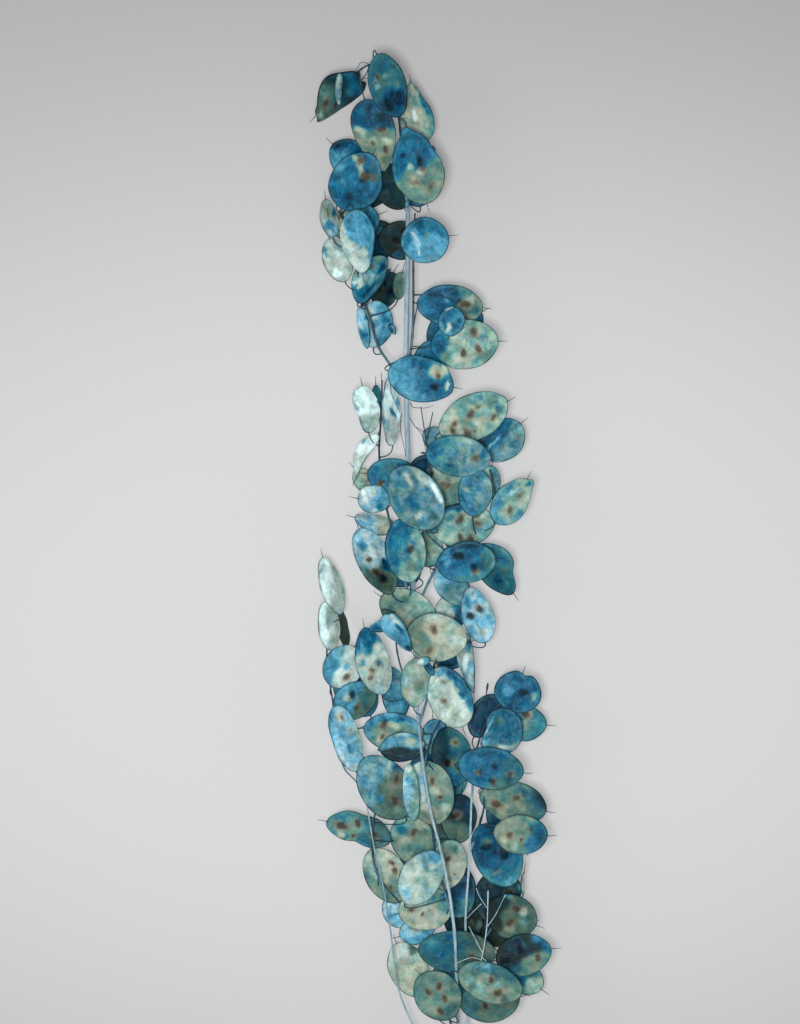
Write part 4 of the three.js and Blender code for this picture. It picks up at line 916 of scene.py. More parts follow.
@dataclass
class Limbs:
    """The three limbs of the stem, one wood, joined where they fork."""

    rows: dict[str, tuple[Row, ...]]
    step: float = 3.0  # mm between rings
    sides: int = 20
    ribs: float = 0.045
    slim: tuple[float, float, float] = (0.5, 0.44, 0.56)  # share of the radius among the pods
    node_gap: float = 46.0  # mm between the joints of the stem
    node_shift: float = 17.0  # mm between the joints of one limb and those of the next
    node_swell: float = 0.16
    node_reach: float = 2.2  # mm, half the length of a joint
    sway: float = 0.35  # mm
    sway_turn: float = 23.0  # mm along for one radian of the sway
    sway_start: float = 40.0  # mm over which the sway sets in
    age: float = 0.12
    tip_age: float = 0.2  # more at the tip of the main limb
    tip: float = 60.0  # mm of tip
    thick: tuple[Row, Row] = ((150.0, 330.0), (0.0, -60.0))  # Y over which they grow full

    def samples(self) -> Array:
        """Points and radii of the limbs every few millimetres.

        Returns:
            (n, 4) rows of x, y, z and radius.
        """
        found = []
        for rows in self.rows.values():
            curve = Curve(rows)
            steps = math.ceil(curve.length() / self.step)
            shares = np.arange(steps + 1) / steps
            found.append(np.column_stack([curve.at(shares), row_radii(rows, shares)]))
        return np.vstack(found)

    def surface(self) -> Surface:
        """The limbs as ribbed tubes that swell at their joints.

        The radius at length l is its row's radius, times 1 + swell exp(-(d / reach)^2), where d
        is the distance to the nearest joint, and it is slimmer among the pods. The middle line
        sways by a slow sine.

        Returns:
            One surface of all the limbs.
        """
        parts = []
        for number, rows in enumerate(self.rows.values()):
            curve = Curve(rows)
            length = curve.length()
            shares = np.linspace(0, 1, max(8, round(length / self.step)))
            run = shares * length
            gap = np.abs((run + self.node_shift * number) % self.node_gap - self.node_gap / 2)
            radii = row_radii(rows, shares) * (
                1 + self.node_swell * np.exp(-((gap / self.node_reach) ** 2)))
            centres = curve.at(shares)
            centres[:, 0] += self.sway * np.sin(run / self.sway_turn + number) * smooth(
                0, self.sway_start, run)
            old = smooth(0, self.tip, run - length + self.tip)
            age = self.age + self.tip_age * old * (number == 0)
            above, below = (smooth(*ends, centres[:, 1]) for ends in self.thick)
            radii = radii * (self.slim[number] + (1 - self.slim[number]) * (above + below))
            parts.append(tube(centres, radii, self.sides, age, self.ribs, number))
        return Surface.joined(parts)


INNER_ROWS = np.array([0.09, 0.18, 0.27, 0.36, 0.45, 0.54, 0.63, 0.71, 0.79, 0.86, 0.93, 1.0])
FRAME_ROWS = np.array([0.82, 0.62, 0.40, 0.20, 0.06, 0.0])  # mm in from the pod's edge
FRAME_WIDE = 1.0  # mm in from the edge where the papery face starts
AROUND = 60  # points round a pod
FLAPS = 200  # number of the first flap


class Pod:
    """One flat oval pod: its frame in space and the surfaces of its paper, frame and beak."""

    PAPER = 0.16  # mm, half the thickness of the paper by the frame
    BELLY = 0.16  # mm more in the middle
    BEAD = 0.40  # mm, half the thickness of the frame
    SEED_RELIEF = 0.5  # mm
    FLAT_RELIEF = 0.15  # share of it on the back of a pod that lies flat
    SEED_SPREAD = 1.55  # mm
    STAIN_SPREAD = 3.2  # mm
    BEAK = 6.5  # mm
    BEAK_START = -0.12  # share of the beak where it starts, inside the frame
    BEAK_RADII = ((-0.12, 0.1, 1), (0.42, 0.28, 0.13))  # at shares of the beak, mm
    BEAK_DROOP = 0.9  # mm
    LEAD = 9.0  # mm over which a pedicel turns into line with its pod
    PEDICEL, PEDICEL_AGE = 0.40, 0.85  # mm of radius, and age
    CUP_SWAY, BEND_SWAY, TWIST_SWAY = 1.0, 1.3, 1.2  # mm
    PITCH_SWAY, ROLL_SWAY = 6, 5  # degrees
    FLAT_HEIGHT = 0.45  # mm
    LEVEL = 0.4  # square of the share where a cup or a bend crosses the plane
    OUTSIDE = 1.08  # square of the share past which a place is off the paper
    SAMPLE_RINGS, SAMPLES_AROUND = (0.35, 0.7, 1.02), 16
    BLUNT = 0.05  # share by which the base is drawn out
    WAVER, FINE_WAVER = 0.012, 0.008  # of the outline, as shares of its radius
    WAVE, WAVE_TURNS = 0.16, (3.1, 4.4, 5.7)  # mm, and radians for a half size
    PUCKER, FINE_PUCKER = 0.10, 0.05  # mm
    CREASE, CLEAR_CREASE, CREASE_TURNS = 0.13, 0.4, (1.6, 2.3, 3.0, 3.7, 4.4)  # as for waves
    FLAT_WAVES = 0.3  # share of the waves on a pod that lies flat
    BEAD_MIDDLE = 0.45  # mm in from the edge
    FRAME_MIDDLE = 0.3  # mm in from the edge, where pedicel and beak start
    SEED_SKEW = 0.22
    FAINT_BLEACH = 0.5  # a paper that is bleached more than this shows no faint seeds
    FAINT_SEEDS, FAINT_LEAST = 4, -0.35  # how many, and the least draw for one to be there
    GRAIN_SHIFT = 40  # mm, at most, so that no two pods share their grain
    BORDER = 0.2  # share of the size, half the width between the look and the far look
    SHADE_SWAY = 0.03
    WASH_RAGGED = 0.16
    WASH_EDGE = (1.45, 0.4)  # shares of a wash's radius from its last trace to its full look

    def __init__(self, plan: PodPlan, index: int) -> None:
        """Place the pod as its solid is placed.

        Args:
            plan: its row.
            index: its number, from 1.
        """
        self.plan, self.index, self.flat = plan, index, plan.height == 0
        self.a, self.b = plan.length / 2, plan.width / 2
        self.cup = self.sway(Salt.CUP, self.CUP_SWAY) if plan.cup is None else plan.cup
        self.bend = self.sway(Salt.BEND, self.BEND_SWAY)
        self.twist = self.sway(Salt.TWIST, self.TWIST_SWAY) if plan.twist is None else plan.twist
        turn = math.radians(plan.heading)
        pitch = math.radians(self.sway(Salt.PITCH, self.PITCH_SWAY))
        roll = math.radians(plan.roll + self.sway(Salt.ROLL, self.ROLL_SWAY))
        self.along = np.array([math.cos(turn) * math.cos(pitch),
                               math.sin(turn) * math.cos(pitch), math.sin(pitch)])
        level = np.array([-math.sin(turn), math.cos(turn), 0.0])
        self.across = level * math.cos(roll) + np.cross(self.along, level) * math.sin(roll)
        self.normal = np.cross(self.along, self.across)
        self.centre = np.array([plan.x, plan.y, self.FLAT_HEIGHT if self.flat else plan.height])

    def sway(self, salt: int, amount: float) -> float:
        """A draw of at most `amount`, or 0 for a pod that lies flat."""
        return 0.0 if self.flat else draw(self.index, salt) * amount

    def lift(self, s: Array, t: Array) -> Array:
        """Height off the plane at shares s, t: cup (t^2-0.4) + bend (s^2-0.4) + twist s t."""
        return (self.cup * (t * t - self.LEVEL) + self.bend * (s * s - self.LEVEL)
                + self.twist * s * t)

    def plain(self, s: Array, t: Array) -> Array:
        """Points of the middle surface, before its finer form."""
        return self.placed(s, t, self.lift(s, t))

    def placed(self, s: Array, t: Array, rise: Array) -> Array:
        """Points at shares of the pod and heights off its plane.

        The middle, plus the ways along and across times their shares and half sizes, plus the
        normal times the height. The bow moves it across by bow (s^2 - 0.5).

        Args:
            s: (n,) shares along.
            t: (n,) shares across.
            rise: (n,) heights, mm.

        Returns:
            (n, 3) points.
        """
        s, t, rise = s[:, None], t[:, None], rise[:, None]
        return (self.centre + self.along * s * self.a
                + self.across * (t * self.b + self.plan.bow * (s * s - 0.5))
                + self.normal * rise)

    def samples(self) -> Array:
        """Points of the middle surface: the middle and three rings.

        Returns:
            (n, 3) points.
        """
        angle = np.arange(self.SAMPLES_AROUND) * np.pi / (self.SAMPLES_AROUND / 2)
        share = np.concatenate([[0], np.repeat(self.SAMPLE_RINGS, self.SAMPLES_AROUND)])
        angle = np.concatenate([[0], np.tile(angle, len(self.SAMPLE_RINGS))])
        return self.plain(share * np.cos(angle), share * np.sin(angle))

    def flat_place(self, dx: Array, dy: Array) -> tuple[Array, Array]:
        """Places on the pod of steps in plan from its middle.

        Args:
            dx: steps along X, mm.
            dy: steps along Y, mm.

        Returns:
            Places along and across, mm: the two ways seen from above, solved for the step.
        """
        det = self.along[0] * self.across[1] - self.along[1] * self.across[0]
        return ((dx * self.across[1] - dy * self.across[0]) / det,
                (dy * self.along[0] - dx * self.along[1]) / det)

    def height_at(self, x: Array, y: Array) -> Array:
        """Heights of the surface over points of the plan.

        Args:
            x: places along X, mm.
            y: places along Y, mm.

        Returns:
            Heights, or nan outside the outline.
        """
        u, v = self.flat_place(x - self.centre[0], y - self.centre[1])
        u, v = u / self.a, v / self.b
        z = (self.centre[2] + u * self.a * self.along[2] + v * self.b * self.across[2]
             + self.lift(u, v) * self.normal[2])
        return np.where(u * u + v * v > self.OUTSIDE, np.nan, z)

    def rim(self, angle: Array) -> tuple[Array, Array]:
        """Shares of the outline at angles.

        A unit circle whose radius grows by point cos^8 at the two ends, is wider towards one end
        by egg, and wavers by about 1%. Each push adds a bell exp(-(d / width)^2) at its way.

        Args:
            angle: (n,) radians from the beak.

        Returns:
            Shares along and across.
        """
        c, s = np.cos(angle), np.sin(angle)
        blunt = self.BLUNT / max(self.plan.point, self.BLUNT)
        scale = 1 + self.plan.point * c**8 * np.where(c > 0, 1, blunt)
        scale = scale + self.WAVER * np.sin(3 * angle + self.index) + (
            self.FINE_WAVER * np.sin(5 * angle + 2 * self.index) * (1 - c**8))
        for way, push, width in self.plan.rim:
            turn = math.radians(way)
            u, v = self.flat_place(math.cos(turn), math.sin(turn))
            middle = math.degrees(math.atan2(v / self.b, u / self.a))
            reach = math.hypot(u, v) / math.hypot(u / self.a, v / self.b)
            off = np.abs((np.degrees(angle) - middle + 540) % 360 - 180)
            scale = scale + push / reach * np.exp(-((off / width) ** 2))
        return c * scale, s * scale * (1 + self.plan.egg * c)

    def waves(self, s: Array, t: Array) -> Array:
        """Fine waves of the paper, mm.

        Slow sines of drawn headings, puckers that run in from the frame, and sharp creases,
        each one minus the size of a sine, which are higher on clear paper.

        Args:
            s: shares along.
            t: shares across.

        Returns:
            Heights off the middle surface.
        """
        total = np.zeros_like(s)
        for k, turns in enumerate(self.WAVE_TURNS):
            start = 6 * draw(self.index, Salt.WAVE_START + k)
            total += self.WAVE * np.sin(self.pull(s, t, Salt.WAVE_WAY + k) * turns + start)
        angle = np.arctan2(t, s)
        edge = np.hypot(s, t) ** 3
        total += self.PUCKER * edge * np.sin(9 * angle + self.index) + (
            self.FINE_PUCKER * edge * np.sin(17 * angle + 3 * self.index))
        sharp = self.CLEAR_CREASE if self.plan.clear else self.CREASE
        for k, turns in enumerate(self.CREASE_TURNS):
            start = 5 * draw(self.index, Salt.CREASE_START + k)
            crease = 1 - np.abs(np.sin(self.pull(s, t, Salt.CREASE_WAY + k) * turns + start))
            total += sharp * crease**4 * (1 - edge)
        return total * (self.FLAT_WAVES if self.flat else 1.0)

    def pull(self, s: Array, t: Array, salt: int) -> Array:
        """Distances in shares along a heading that is drawn."""
        heading = math.pi * draw(self.index, salt)
        return s * math.cos(heading) + t * math.sin(heading)

    def seeds(self) -> list[tuple[float, float, float, float]]:
        """Places of the seeds, in mm along and across, with their strengths and sizes.

        Returns:
            Seeds at their places in plan, or in two rows where the plan names none.
        """
        found = []
        for n, (x, y, *more) in enumerate(self.plan.seeds):
            u, v = self.flat_place(x - self.centre[0], y - self.centre[1])
            size, force = (*more, 1.0, 1.0)[:2]
            found.append((u, v, force * (0.9 + 0.08 * draw(self.index, Salt.SEED_FORCE + n)), size))
        if not found and self.index < FLAPS and self.plan.look.value.bleach < self.FAINT_BLEACH:
            for n in range(self.FAINT_SEEDS):
                if draw(self.index, Salt.FAINT_THERE + n) > self.FAINT_LEAST:
                    side = 1 if n % 2 else -1
                    u = self.a * (0.45 - 0.3 * n + 0.12 * draw(self.index, Salt.FAINT_ALONG + n))
                    v = self.b * (0.3 * side + 0.12 * draw(self.index, Salt.FAINT_ACROSS + n))
                    force = 0.4 + 0.2 * draw(self.index, Salt.FAINT_FORCE + n)
                    found.append((u, v, force, 1.0))
        return found

    def paper(self) -> Surface:
        """The pod's two faces and its frame as one closed shell.

        Rings of points follow the outline inwards: frame rows by mm from the edge, and paper
        rows by share of what is left. Half the thickness is paper + belly (1 - r^2), with a bead
        sqrt(1 - q^2) of the frame, and each seed adds a bell exp(-(d / spread)^2).

        Returns:
            The surface, with the marks of its dye, painted shade and light, seeds and frame.
        """
        angle = np.linspace(0, 2 * np.pi, AROUND, endpoint=False)
        rim_s, rim_t = self.rim(angle)
        reach = np.hypot(rim_s * self.a, rim_t * self.b)
        share = np.vstack([INNER_ROWS[:, None] * (1 - FRAME_WIDE / reach),
                           1 - FRAME_ROWS[:, None] / reach])
        s = np.concatenate([[0.0], (share * rim_s).ravel()])
        t = np.concatenate([[0.0], (share * rim_t).ravel()])
        inset = np.concatenate([[9.0], ((1 - share) * reach).ravel()])
        share = np.concatenate([[0.0], share.ravel()])
        half = self.PAPER + self.BELLY * (1 - share**2)
        bead = self.BEAD * np.sqrt(
            np.clip(1 - ((inset - self.BEAD_MIDDLE) / self.BEAD_MIDDLE) ** 2, 0, None))
        half = np.where(inset <= self.BEAD_MIDDLE, bead, np.maximum(half, bead))
        mark, relief = np.zeros_like(s), np.zeros_like(s)
        for u, v, strength, size in self.seeds():
            gap = np.hypot(s * self.a - u, t * self.b - v) / size
            way = np.arctan2(t * self.b - v, s * self.a - u)
            skew = 1 + self.SEED_SKEW * np.sin(2 * way + 3 * u)
            bell = np.exp(-((gap * skew / self.STAIN_SPREAD) ** 2))
            mark = np.maximum(mark, strength * bell)
            relief = np.maximum(relief, strength * np.exp(-((gap / self.SEED_SPREAD) ** 2)))
        relief *= self.SEED_RELIEF * (1 - share**6)
        base = self.placed(s, t, self.lift(s, t) + self.waves(s, t))
        under = self.FLAT_RELIEF if self.flat else 1.0
        front = base + self.normal * (half + relief)[:, None]
        back = base - self.normal * (half + relief * under)[:, None]
        inside = len(front) - AROUND
        dye = self.dye(base, s, t)
        dye["seed"] = mark
        dye["rim"] = smooth(0.78, 0.35, inset) - 0.4 * np.exp(-(((inset - 1.5) / 0.6) ** 2))
        dye["along"] = s * self.a + self.GRAIN_SHIFT * draw(self.index, Salt.GRAIN_ALONG)
        dye["across"] = t * self.b + self.GRAIN_SHIFT * draw(self.index, Salt.GRAIN_ACROSS)
        marks = {k: np.concatenate([v, v[:inside]]) for k, v in dye.items()}
        return Surface(np.vstack([front, back[:inside]]),
                       shell_faces(len(INNER_ROWS) + len(FRAME_ROWS), AROUND), marks)

    def dye(self, base: Array, s: Array, t: Array) -> dict[str, Array]:
        """The dye's marks, with their painted shade and light, run from the look to the far look.

        Across the line the share is an S-step of the distance past it, warped by slow sines.
        Each wash lays its look over that by an S-step of the distance to its middle.

        Args:
            base: (n, 3) points of the middle surface.
            s: shares along.
            t: shares across.

        Returns:
            dye, the share of olive, bleach and lightness for each point. The olive and the
            lightness are partly painted shade and light.
        """
        near = self.plan.look.value
        far = (self.plan.far or self.plan.look).value
        turn = math.radians(self.plan.toward)
        flat = (base - self.centre)[:, :2] @ np.array([math.cos(turn), math.sin(turn)])
        size = math.sqrt(self.a * self.b)
        warp = 0.13 * np.sin(4.1 * s + self.index) + 0.11 * np.sin(5.3 * t + 2.3 * self.index)
        share = smooth(-self.BORDER, self.BORDER, flat / size + warp - self.plan.at)
        shade = self.SHADE_SWAY * draw(self.index, Salt.SHADE)
        out = {}
        for name in ("dye", "cast", "bleach", "tone"):
            low, high = getattr(near, name), getattr(far, name)
            out[name] = low + (high - low) * share + (shade if name in ("dye", "tone") else 0)
        for n, (x, y, radius, look, *streak) in enumerate(self.plan.washes):
            way, longer = streak or (0.0, 1.0)
            turn = math.radians(way)
            dx, dy = base[:, 0] - x, base[:, 1] - y
            pull = (dx * math.cos(turn) + dy * math.sin(turn)) / longer
            side = dy * math.cos(turn) - dx * math.sin(turn)
            ragged = 1 + self.WASH_RAGGED * np.sin(3 * np.arctan2(dy, dx) + n + x)
            over = smooth(*self.WASH_EDGE, np.hypot(pull, side) / (radius * ragged))
            for name, values in out.items():
                out[name] = values + (getattr(look.value, name) - values) * over
        return out

    def wires(self, attach: Array) -> Surface:
        """The pod's pedicel and its beak.

        The pedicel is a quadratic Bezier from the stalk, round into line with the pod's base,
        that swells where it meets both. The beak is a tapered tube past the tip with a slight
        droop that grows with the square of the length.

        Args:
            attach: (3,) the place on the stalk.

        Returns:
            Both as one surface of two closed tubes.
        """
        base = self.end(-1)
        run = min(self.LEAD, 0.5 * float(np.linalg.norm(attach - base)))
        q = np.linspace(0, 1, 14)
        centres = bend(attach, base - self.along * run, base, len(q))
        radii = (self.PEDICEL + 0.28 * np.exp(-((q / 0.1) ** 2))
                 + 0.14 * np.exp(-(((1 - q) / 0.12) ** 2)))
        parts = [tube(centres, radii, 7, self.PEDICEL_AGE)]
        tip = self.end(1)
        q = np.linspace(self.BEAK_START, 1, 8)[:, None]
        droop = (self.across * draw(self.index, Salt.BEAK_ACROSS)
                 + self.normal * draw(self.index, Salt.BEAK_UP)) * self.BEAK_DROOP
        centres = tip + self.along * q * self.BEAK + droop * np.maximum(q, 0) ** 2
        parts.append(tube(centres, np.interp(q[:, 0], *self.BEAK_RADII), 6, 1))
        return Surface.joined(parts)

    def end(self, side: int) -> Array:
        """Middle of the frame at one end of the pod.

        Args:
            side: 1 for the tip, -1 for the base.

        Returns:
            (3,) the place.
        """
        s, t = self.rim(np.array([0.0 if side > 0 else math.pi]))
        edge = self.placed(s, t, self.lift(s, t) + self.waves(s, t))[0]
        return edge - self.along * side * self.FRAME_MIDDLE


LAY_GAP = 2.0  # mm between the middle surfaces of a pod and one that it lies over
SURFACE_GAP = 1.2  # mm from the surface to a pod's middle surface
NEAR = 52.0  # mm between the middles of two pods past which they can't meet


def lay(pods: list[Pod], limbs: Array) -> None:
    """Hang the pods from the lowest up, each clear of those that it lies over.

    A pod rises by the largest overlap, at sample points of both, over pods laid before it,
    the surface, and limbs that are lower than its own height.

    Args:
        pods: all the pods.
        limbs: (n, 4) points and radii of the limbs.
    """
    laid: list[Pod] = []
    for pod in sorted(pods, key=lambda p: (p.plan.height, p.index)):
        if not pod.flat:
            own = pod.samples()
            rises = [0.0, float(np.max(SURFACE_GAP - own[:, 2]))]
            for other in laid:
                if np.hypot(*(other.centre - pod.centre)[:2]) > NEAR:
                    continue
                gap = LAY_GAP / min(pod.normal[2], other.normal[2])
                theirs = other.samples()
                under = other.height_at(own[:, 0], own[:, 1]) + gap - own[:, 2]
                over = theirs[:, 2] + gap - pod.height_at(theirs[:, 0], theirs[:, 1])
                rises += [float(r) for r in (np.nanmax(under, initial=0.0),
                                             np.nanmax(over, initial=0.0))]
            low = limbs[limbs[:, 2] <= pod.plan.height]
            over = low[:, 2] + low[:, 3] + 1 - pod.height_at(low[:, 0], low[:, 1])
            rises.append(float(np.nanmax(over, initial=0.0)))
            pod.centre[2] += max(rises)
        laid.append(pod)


@dataclass
class Spray:
    """A side shoot: its stalk, bare twigs and wisps, and the pods that it carries."""

    name: str
    plan: SprayPlan
    pods: list[Pod] = field(default_factory=list)
    flaps: list[Pod] = field(default_factory=list)
    foot_radius: float = 0.95
    tip_radius: float = 0.55
    clear_of_limb: float = 0.8  # mm from a limb to the nearest pedicel
    step: float = 14.0  # mm of stalk with one set of pedicels
    joint_gap: float = 15.0  # mm between the joints of the stalk
    joint_swell: float = 0.22
    joint_reach: float = 1.2  # mm, half the length of a joint
    ages: tuple[float, float] = (0.35, 0.85)  # at the foot, and from half way up
    twig_age: float = 0.9
    twig_radius: float = 0.55
    wisp_radius: float = 0.28

    def attach_points(self, limbs: Array) -> Array:
        """Places on the stalk where a pedicel may start, clear of the limbs.

        Args:
            limbs: (n, 4) points and radii of the limbs.

        Returns:
            (m, 3) points at set shares of each step of the stalk.
        """
        curve = Curve(self.plan.stalk)
        steps = max(4, round(curve.length() / self.step))
        shares = (np.arange(steps)[:, None] + np.array([0.1, 0.3, 0.5, 0.7, 0.85])).ravel()
        points = curve.at(shares / steps)
        gaps = np.linalg.norm(points[:, None] - limbs[None, :, :3], axis=2) - limbs[:, 3]
        return points[gaps.min(1) > self.clear_of_limb]

    def stalks(self, limbs: Array) -> Surface:
        """The stalk, twigs, wisps, pedicels and beaks.

        Args:
            limbs: (n, 4) points and radii of the limbs.

        Returns:
            One surface of closed tubes. The stalk runs from pale wood at the limb to dark wire.
        """
        curve = Curve(self.plan.stalk)
        count = max(12, round(curve.length() / 2))
        q = np.linspace(0, 1, count)
        gap = (q * curve.length()) % self.joint_gap - self.joint_gap / 2
        joints = self.joint_swell * np.exp(-(gap / self.joint_reach) ** 2)
        radii = np.interp(q, [0, 1], [self.foot_radius * self.plan.slim, self.tip_radius])
        radii = radii * (1 + joints)
        age = self.ages[0] + (self.ages[1] - self.ages[0]) * smooth(0.0, 0.5, q)
        parts = [tube(curve.at(q), radii, 10, age, 0.05, len(self.name))]
        for rows, thick in [(r, self.twig_radius) for r in self.plan.twigs] + [
                (r, self.wisp_radius) for r in self.plan.wisps]:
            twig = Curve(rows)
            count = max(8, round(twig.length() / 1.6))
            q = np.linspace(0, 1, count)
            bud = (self.name == "right_spray") * np.exp(-(((q - 0.93) / 0.05) ** 2))
            parts.append(tube(twig.at(q), thick * (1 - 0.4 * q + bud), 7, self.twig_age))
        attach = self.attach_points(limbs)
        for pod in self.pods:
            reach = pod.end(-1) - pod.along * pod.LEAD
            nearest = attach[np.argmin(np.linalg.norm(attach - reach, axis=1))]
            parts.append(pod.wires(nearest))
        return Surface.joined(parts)

    def papers(self, clear: bool) -> Surface | None:
        """The pods' paper, either the dyed ones or the clear ones, or None if there are none."""
        parts = [pod.paper() for pod in self.pods + self.flaps if pod.plan.clear == clear]
        return Surface.joined(parts) if parts else None


@dataclass(frozen=True)
class BareTwig:
    """The pale forked twig that has lost its pods."""

    branches: tuple[tuple[Row, ...], ...]
    radius: float = 0.5
    side_share: float = 0.6  # radius of the side branches
    age: float = 0.02
    ribs: float = 0.05

    def surface(self) -> Surface:
        """Tapered tubes, each with a small swelling where a pod has dropped.

        Returns:
            One surface of closed tubes; all but the first are thinner.
        """
        parts = []
        for number, rows in enumerate(self.branches):
            curve = Curve(rows)
            q = np.linspace(0, 1, max(10, round(curve.length() / 1.5)))
            thick = self.radius * (self.side_share if number else 1)
            scar = 0.5 * np.exp(-(((q - 0.96) / 0.05) ** 2))
            radii = thick * (1 - 0.35 * q + scar)
            parts.append(tube(curve.at(q), radii, 9, self.age, self.ribs, number))
        return Surface.joined(parts)


# ---------------------------------------------------------------- finishes


def linear(red: int, green: int, blue: int) -> tuple[float, float, float, float]:
    """A display colour of 0 to 255 as the linear colour that a shader takes."""
    return tuple((v / 255 / 12.92 if v < 11 else ((v / 255 + 0.055) / 1.055) ** 2.4)
                 for v in (red, green, blue)) + (1.0,)


class Graph:
    """A node tree, with short calls that add its nodes and join them."""

    def __init__(self, tree: bpy.types.NodeTree) -> None:
        """Start on a tree."""
        self.tree = tree

    def add(self, kind: str, ins: dict[int | str, object] | None = None,
            **settings: object) -> bpy.types.Node:
        """A node with its settings and inputs.

        Args:
            kind: the node's type.
            ins: input number or name to a socket to join or a value to set.
            settings: properties of the node.

        Returns:
            The node.
        """
        node = self.tree.nodes.new(kind)
        for key, value in settings.items():
            setattr(node, key, value)
        for key, value in (ins or {}).items():
            if isinstance(value, Socket):
                self.tree.links.new(value, node.inputs[key])
            else:
                node.inputs[key].default_value = value
        return node

    def place(self) -> Socket:
        """The object's own coordinates, metres."""
        return self.add("ShaderNodeTexCoord").outputs["Object"]

    def group(self, tree: bpy.types.NodeTree, *ins: Socket | float) -> list[Socket]:
        """The outputs of a shared group for its inputs in turn."""
        node = self.add("ShaderNodeGroup", dict(enumerate(ins)), node_tree=tree)
        return list(node.outputs)

    def give(self, outs: bpy.types.Node, *values: Socket) -> None:
        """Join values in turn to an output node."""
        for value, socket in zip(values, outs.inputs):
            self.tree.links.new(value, socket)

    def surface(self, node: bpy.types.Node) -> None:
        """Make a shader the surface of the material."""
        self.give(self.add("ShaderNodeOutputMaterial"), node.outputs[0])

    def math(self, how: str, a: Socket | float, b: Socket | float = 0.0,
             clamp: bool = False) -> Socket:
        """The result of a sum on two numbers."""
        return self.add("ShaderNodeMath", {0: a, 1: b}, operation=how,
                        use_clamp=clamp).outputs[0]

    def times(self, a: Socket | float, b: Socket | float, clamp: bool = False) -> Socket:
        """The product of two numbers."""
        return self.math("MULTIPLY", a, b, clamp)

    def mixed(self, share: Socket | float, a: Socket | tuple, b: Socket | tuple,
              how: str = "MIX") -> Socket:
        """One colour laid over another by a share."""
        return self.add("ShaderNodeMix", {0: share, 6: a, 7: b}, data_type="RGBA",
                        blend_type=how).outputs[2]

    def noise(self, vector: Socket, scale: float, detail: float = 3.0, rough: float = 0.55,
              warp: float = 0.0) -> Socket:
        """Cloudy noise.

        Args:
            vector: places, metres.
            scale: waves a metre.
            detail: number of finer waves laid over.
            rough: strength of the finer waves.
            warp: how far the places are moved first.

        Returns:
            Numbers from 0 to 1.
        """
        return self.add("ShaderNodeTexNoise", {"Vector": vector, "Scale": scale,
                                               "Detail": detail, "Roughness": rough,
                                               "Distortion": warp}).outputs[0]

    def summed(self, parts: list[tuple[Socket, float]]) -> Socket:
        """The sum of noises, each less its middle of a half and times its weight.

        Args:
            parts: noises and their weights.

        Returns:
            The sum, about 0.
        """
        total = None
        for value, weight in parts:
            part = self.times(self.math("SUBTRACT", value, 0.5), weight)
            total = part if total is None else self.math("ADD", total, part)
        return total

    def step(self, value: Socket, low: float, high: float, start: float = 0.0,
             end: float = 1.0) -> Socket:
        """An S-shaped step from `start` to `end` as the value goes from low to high."""
        return self.add("ShaderNodeMapRange", {0: value, 1: low, 2: high, 3: start, 4: end},
                        interpolation_type="SMOOTHSTEP").outputs[0]

    def ramp(self, value: Socket, stops: list[tuple[float, tuple]]) -> Socket:
        """A colour looked up on a ramp.

        Args:
            value: where to look, from 0 to 1.
            stops: at least two places and their colours, in order.

        Returns:
            The colour.
        """
        node = self.add("ShaderNodeValToRGB", {0: value})
        marks = node.color_ramp.elements
        marks[0].position, marks[0].color = stops[0]
        marks[1].position, marks[1].color = stops[-1]
        for place, colour in stops[1:-1]:
            marks.new(place).color = colour
        return node.outputs[0]

    def bump(self, height: Socket, strength: float, distance: float) -> Socket:
        """A normal tilted by heights, which are 1 for each `distance` in metres."""
        return self.add("ShaderNodeBump", {"Strength": strength, "Distance": distance,
                                           "Height": height}).outputs[0]

    def mark(self, name: str) -> Socket:
        """The numbers that a piece's points carry under a name."""
        return self.add("ShaderNodeAttribute", attribute_name=name).outputs["Fac"]


def new_group(name: str, ins: list[tuple[str, str]], outs: list[tuple[str, str]]) -> tuple:
    """An empty node group with its sockets.

    Args:
        name: the group's name.
        ins: names and socket types of its inputs.
        outs: names and socket types of its outputs.

    Returns:
        The group, a Graph on it, its input node and its output node.
    """
    group = bpy.data.node_groups.new(name, "ShaderNodeTree")
    for label, kind in ins:
        group.interface.new_socket(label, in_out="INPUT", socket_type=kind)
    for label, kind in outs:
        group.interface.new_socket(label, in_out="OUTPUT", socket_type=kind)
    g = Graph(group)
    return group, g, g.add("NodeGroupInput"), g.add("NodeGroupOutput")


FLOAT, VECTOR = "NodeSocketFloat", "NodeSocketVector"


def cloud_group() -> bpy.types.NodeTree:
    """Watery dye: a base depth moved by blots, patches and mottle.

    Returns:
        A group with inputs Place, Depth and Spread, and outputs Depth, Tide (a line where a
        blot dried) and Veil (how light or dark the paper is, about 1).
    """
    group, g, ins, outs = new_group(
        "dye_clouds", [("Place", VECTOR), ("Depth", FLOAT), ("Spread", FLOAT)],
        [("Depth", FLOAT), ("Tide", FLOAT), ("Veil", FLOAT)])
    place = ins.outputs[0]
    wave = g.summed([(g.noise(place, 60, 2.0, 0.5, 0.4), 1.1),
                     (g.noise(place, 150, 2.0, 0.5, 0.5), 1.3),
                     (g.noise(place, 480, 3.0, 0.55, 0.3), 0.35)])
    depth = g.math("ADD", ins.outputs[1], g.times(wave, ins.outputs[2]), True)
    tide = g.step(g.math("ABSOLUTE", g.math("SUBTRACT", depth, 0.45)), 0.05, 0.0)
    veil = g.summed([(g.noise(place, 105, 2.0, 0.5, 0.6), 1.2),
                     (g.noise(place, 260, 3.0, 0.6, 0.6), 0.9)])
    g.give(outs, depth, tide, g.math("ADD", veil, 1.0))
    return group


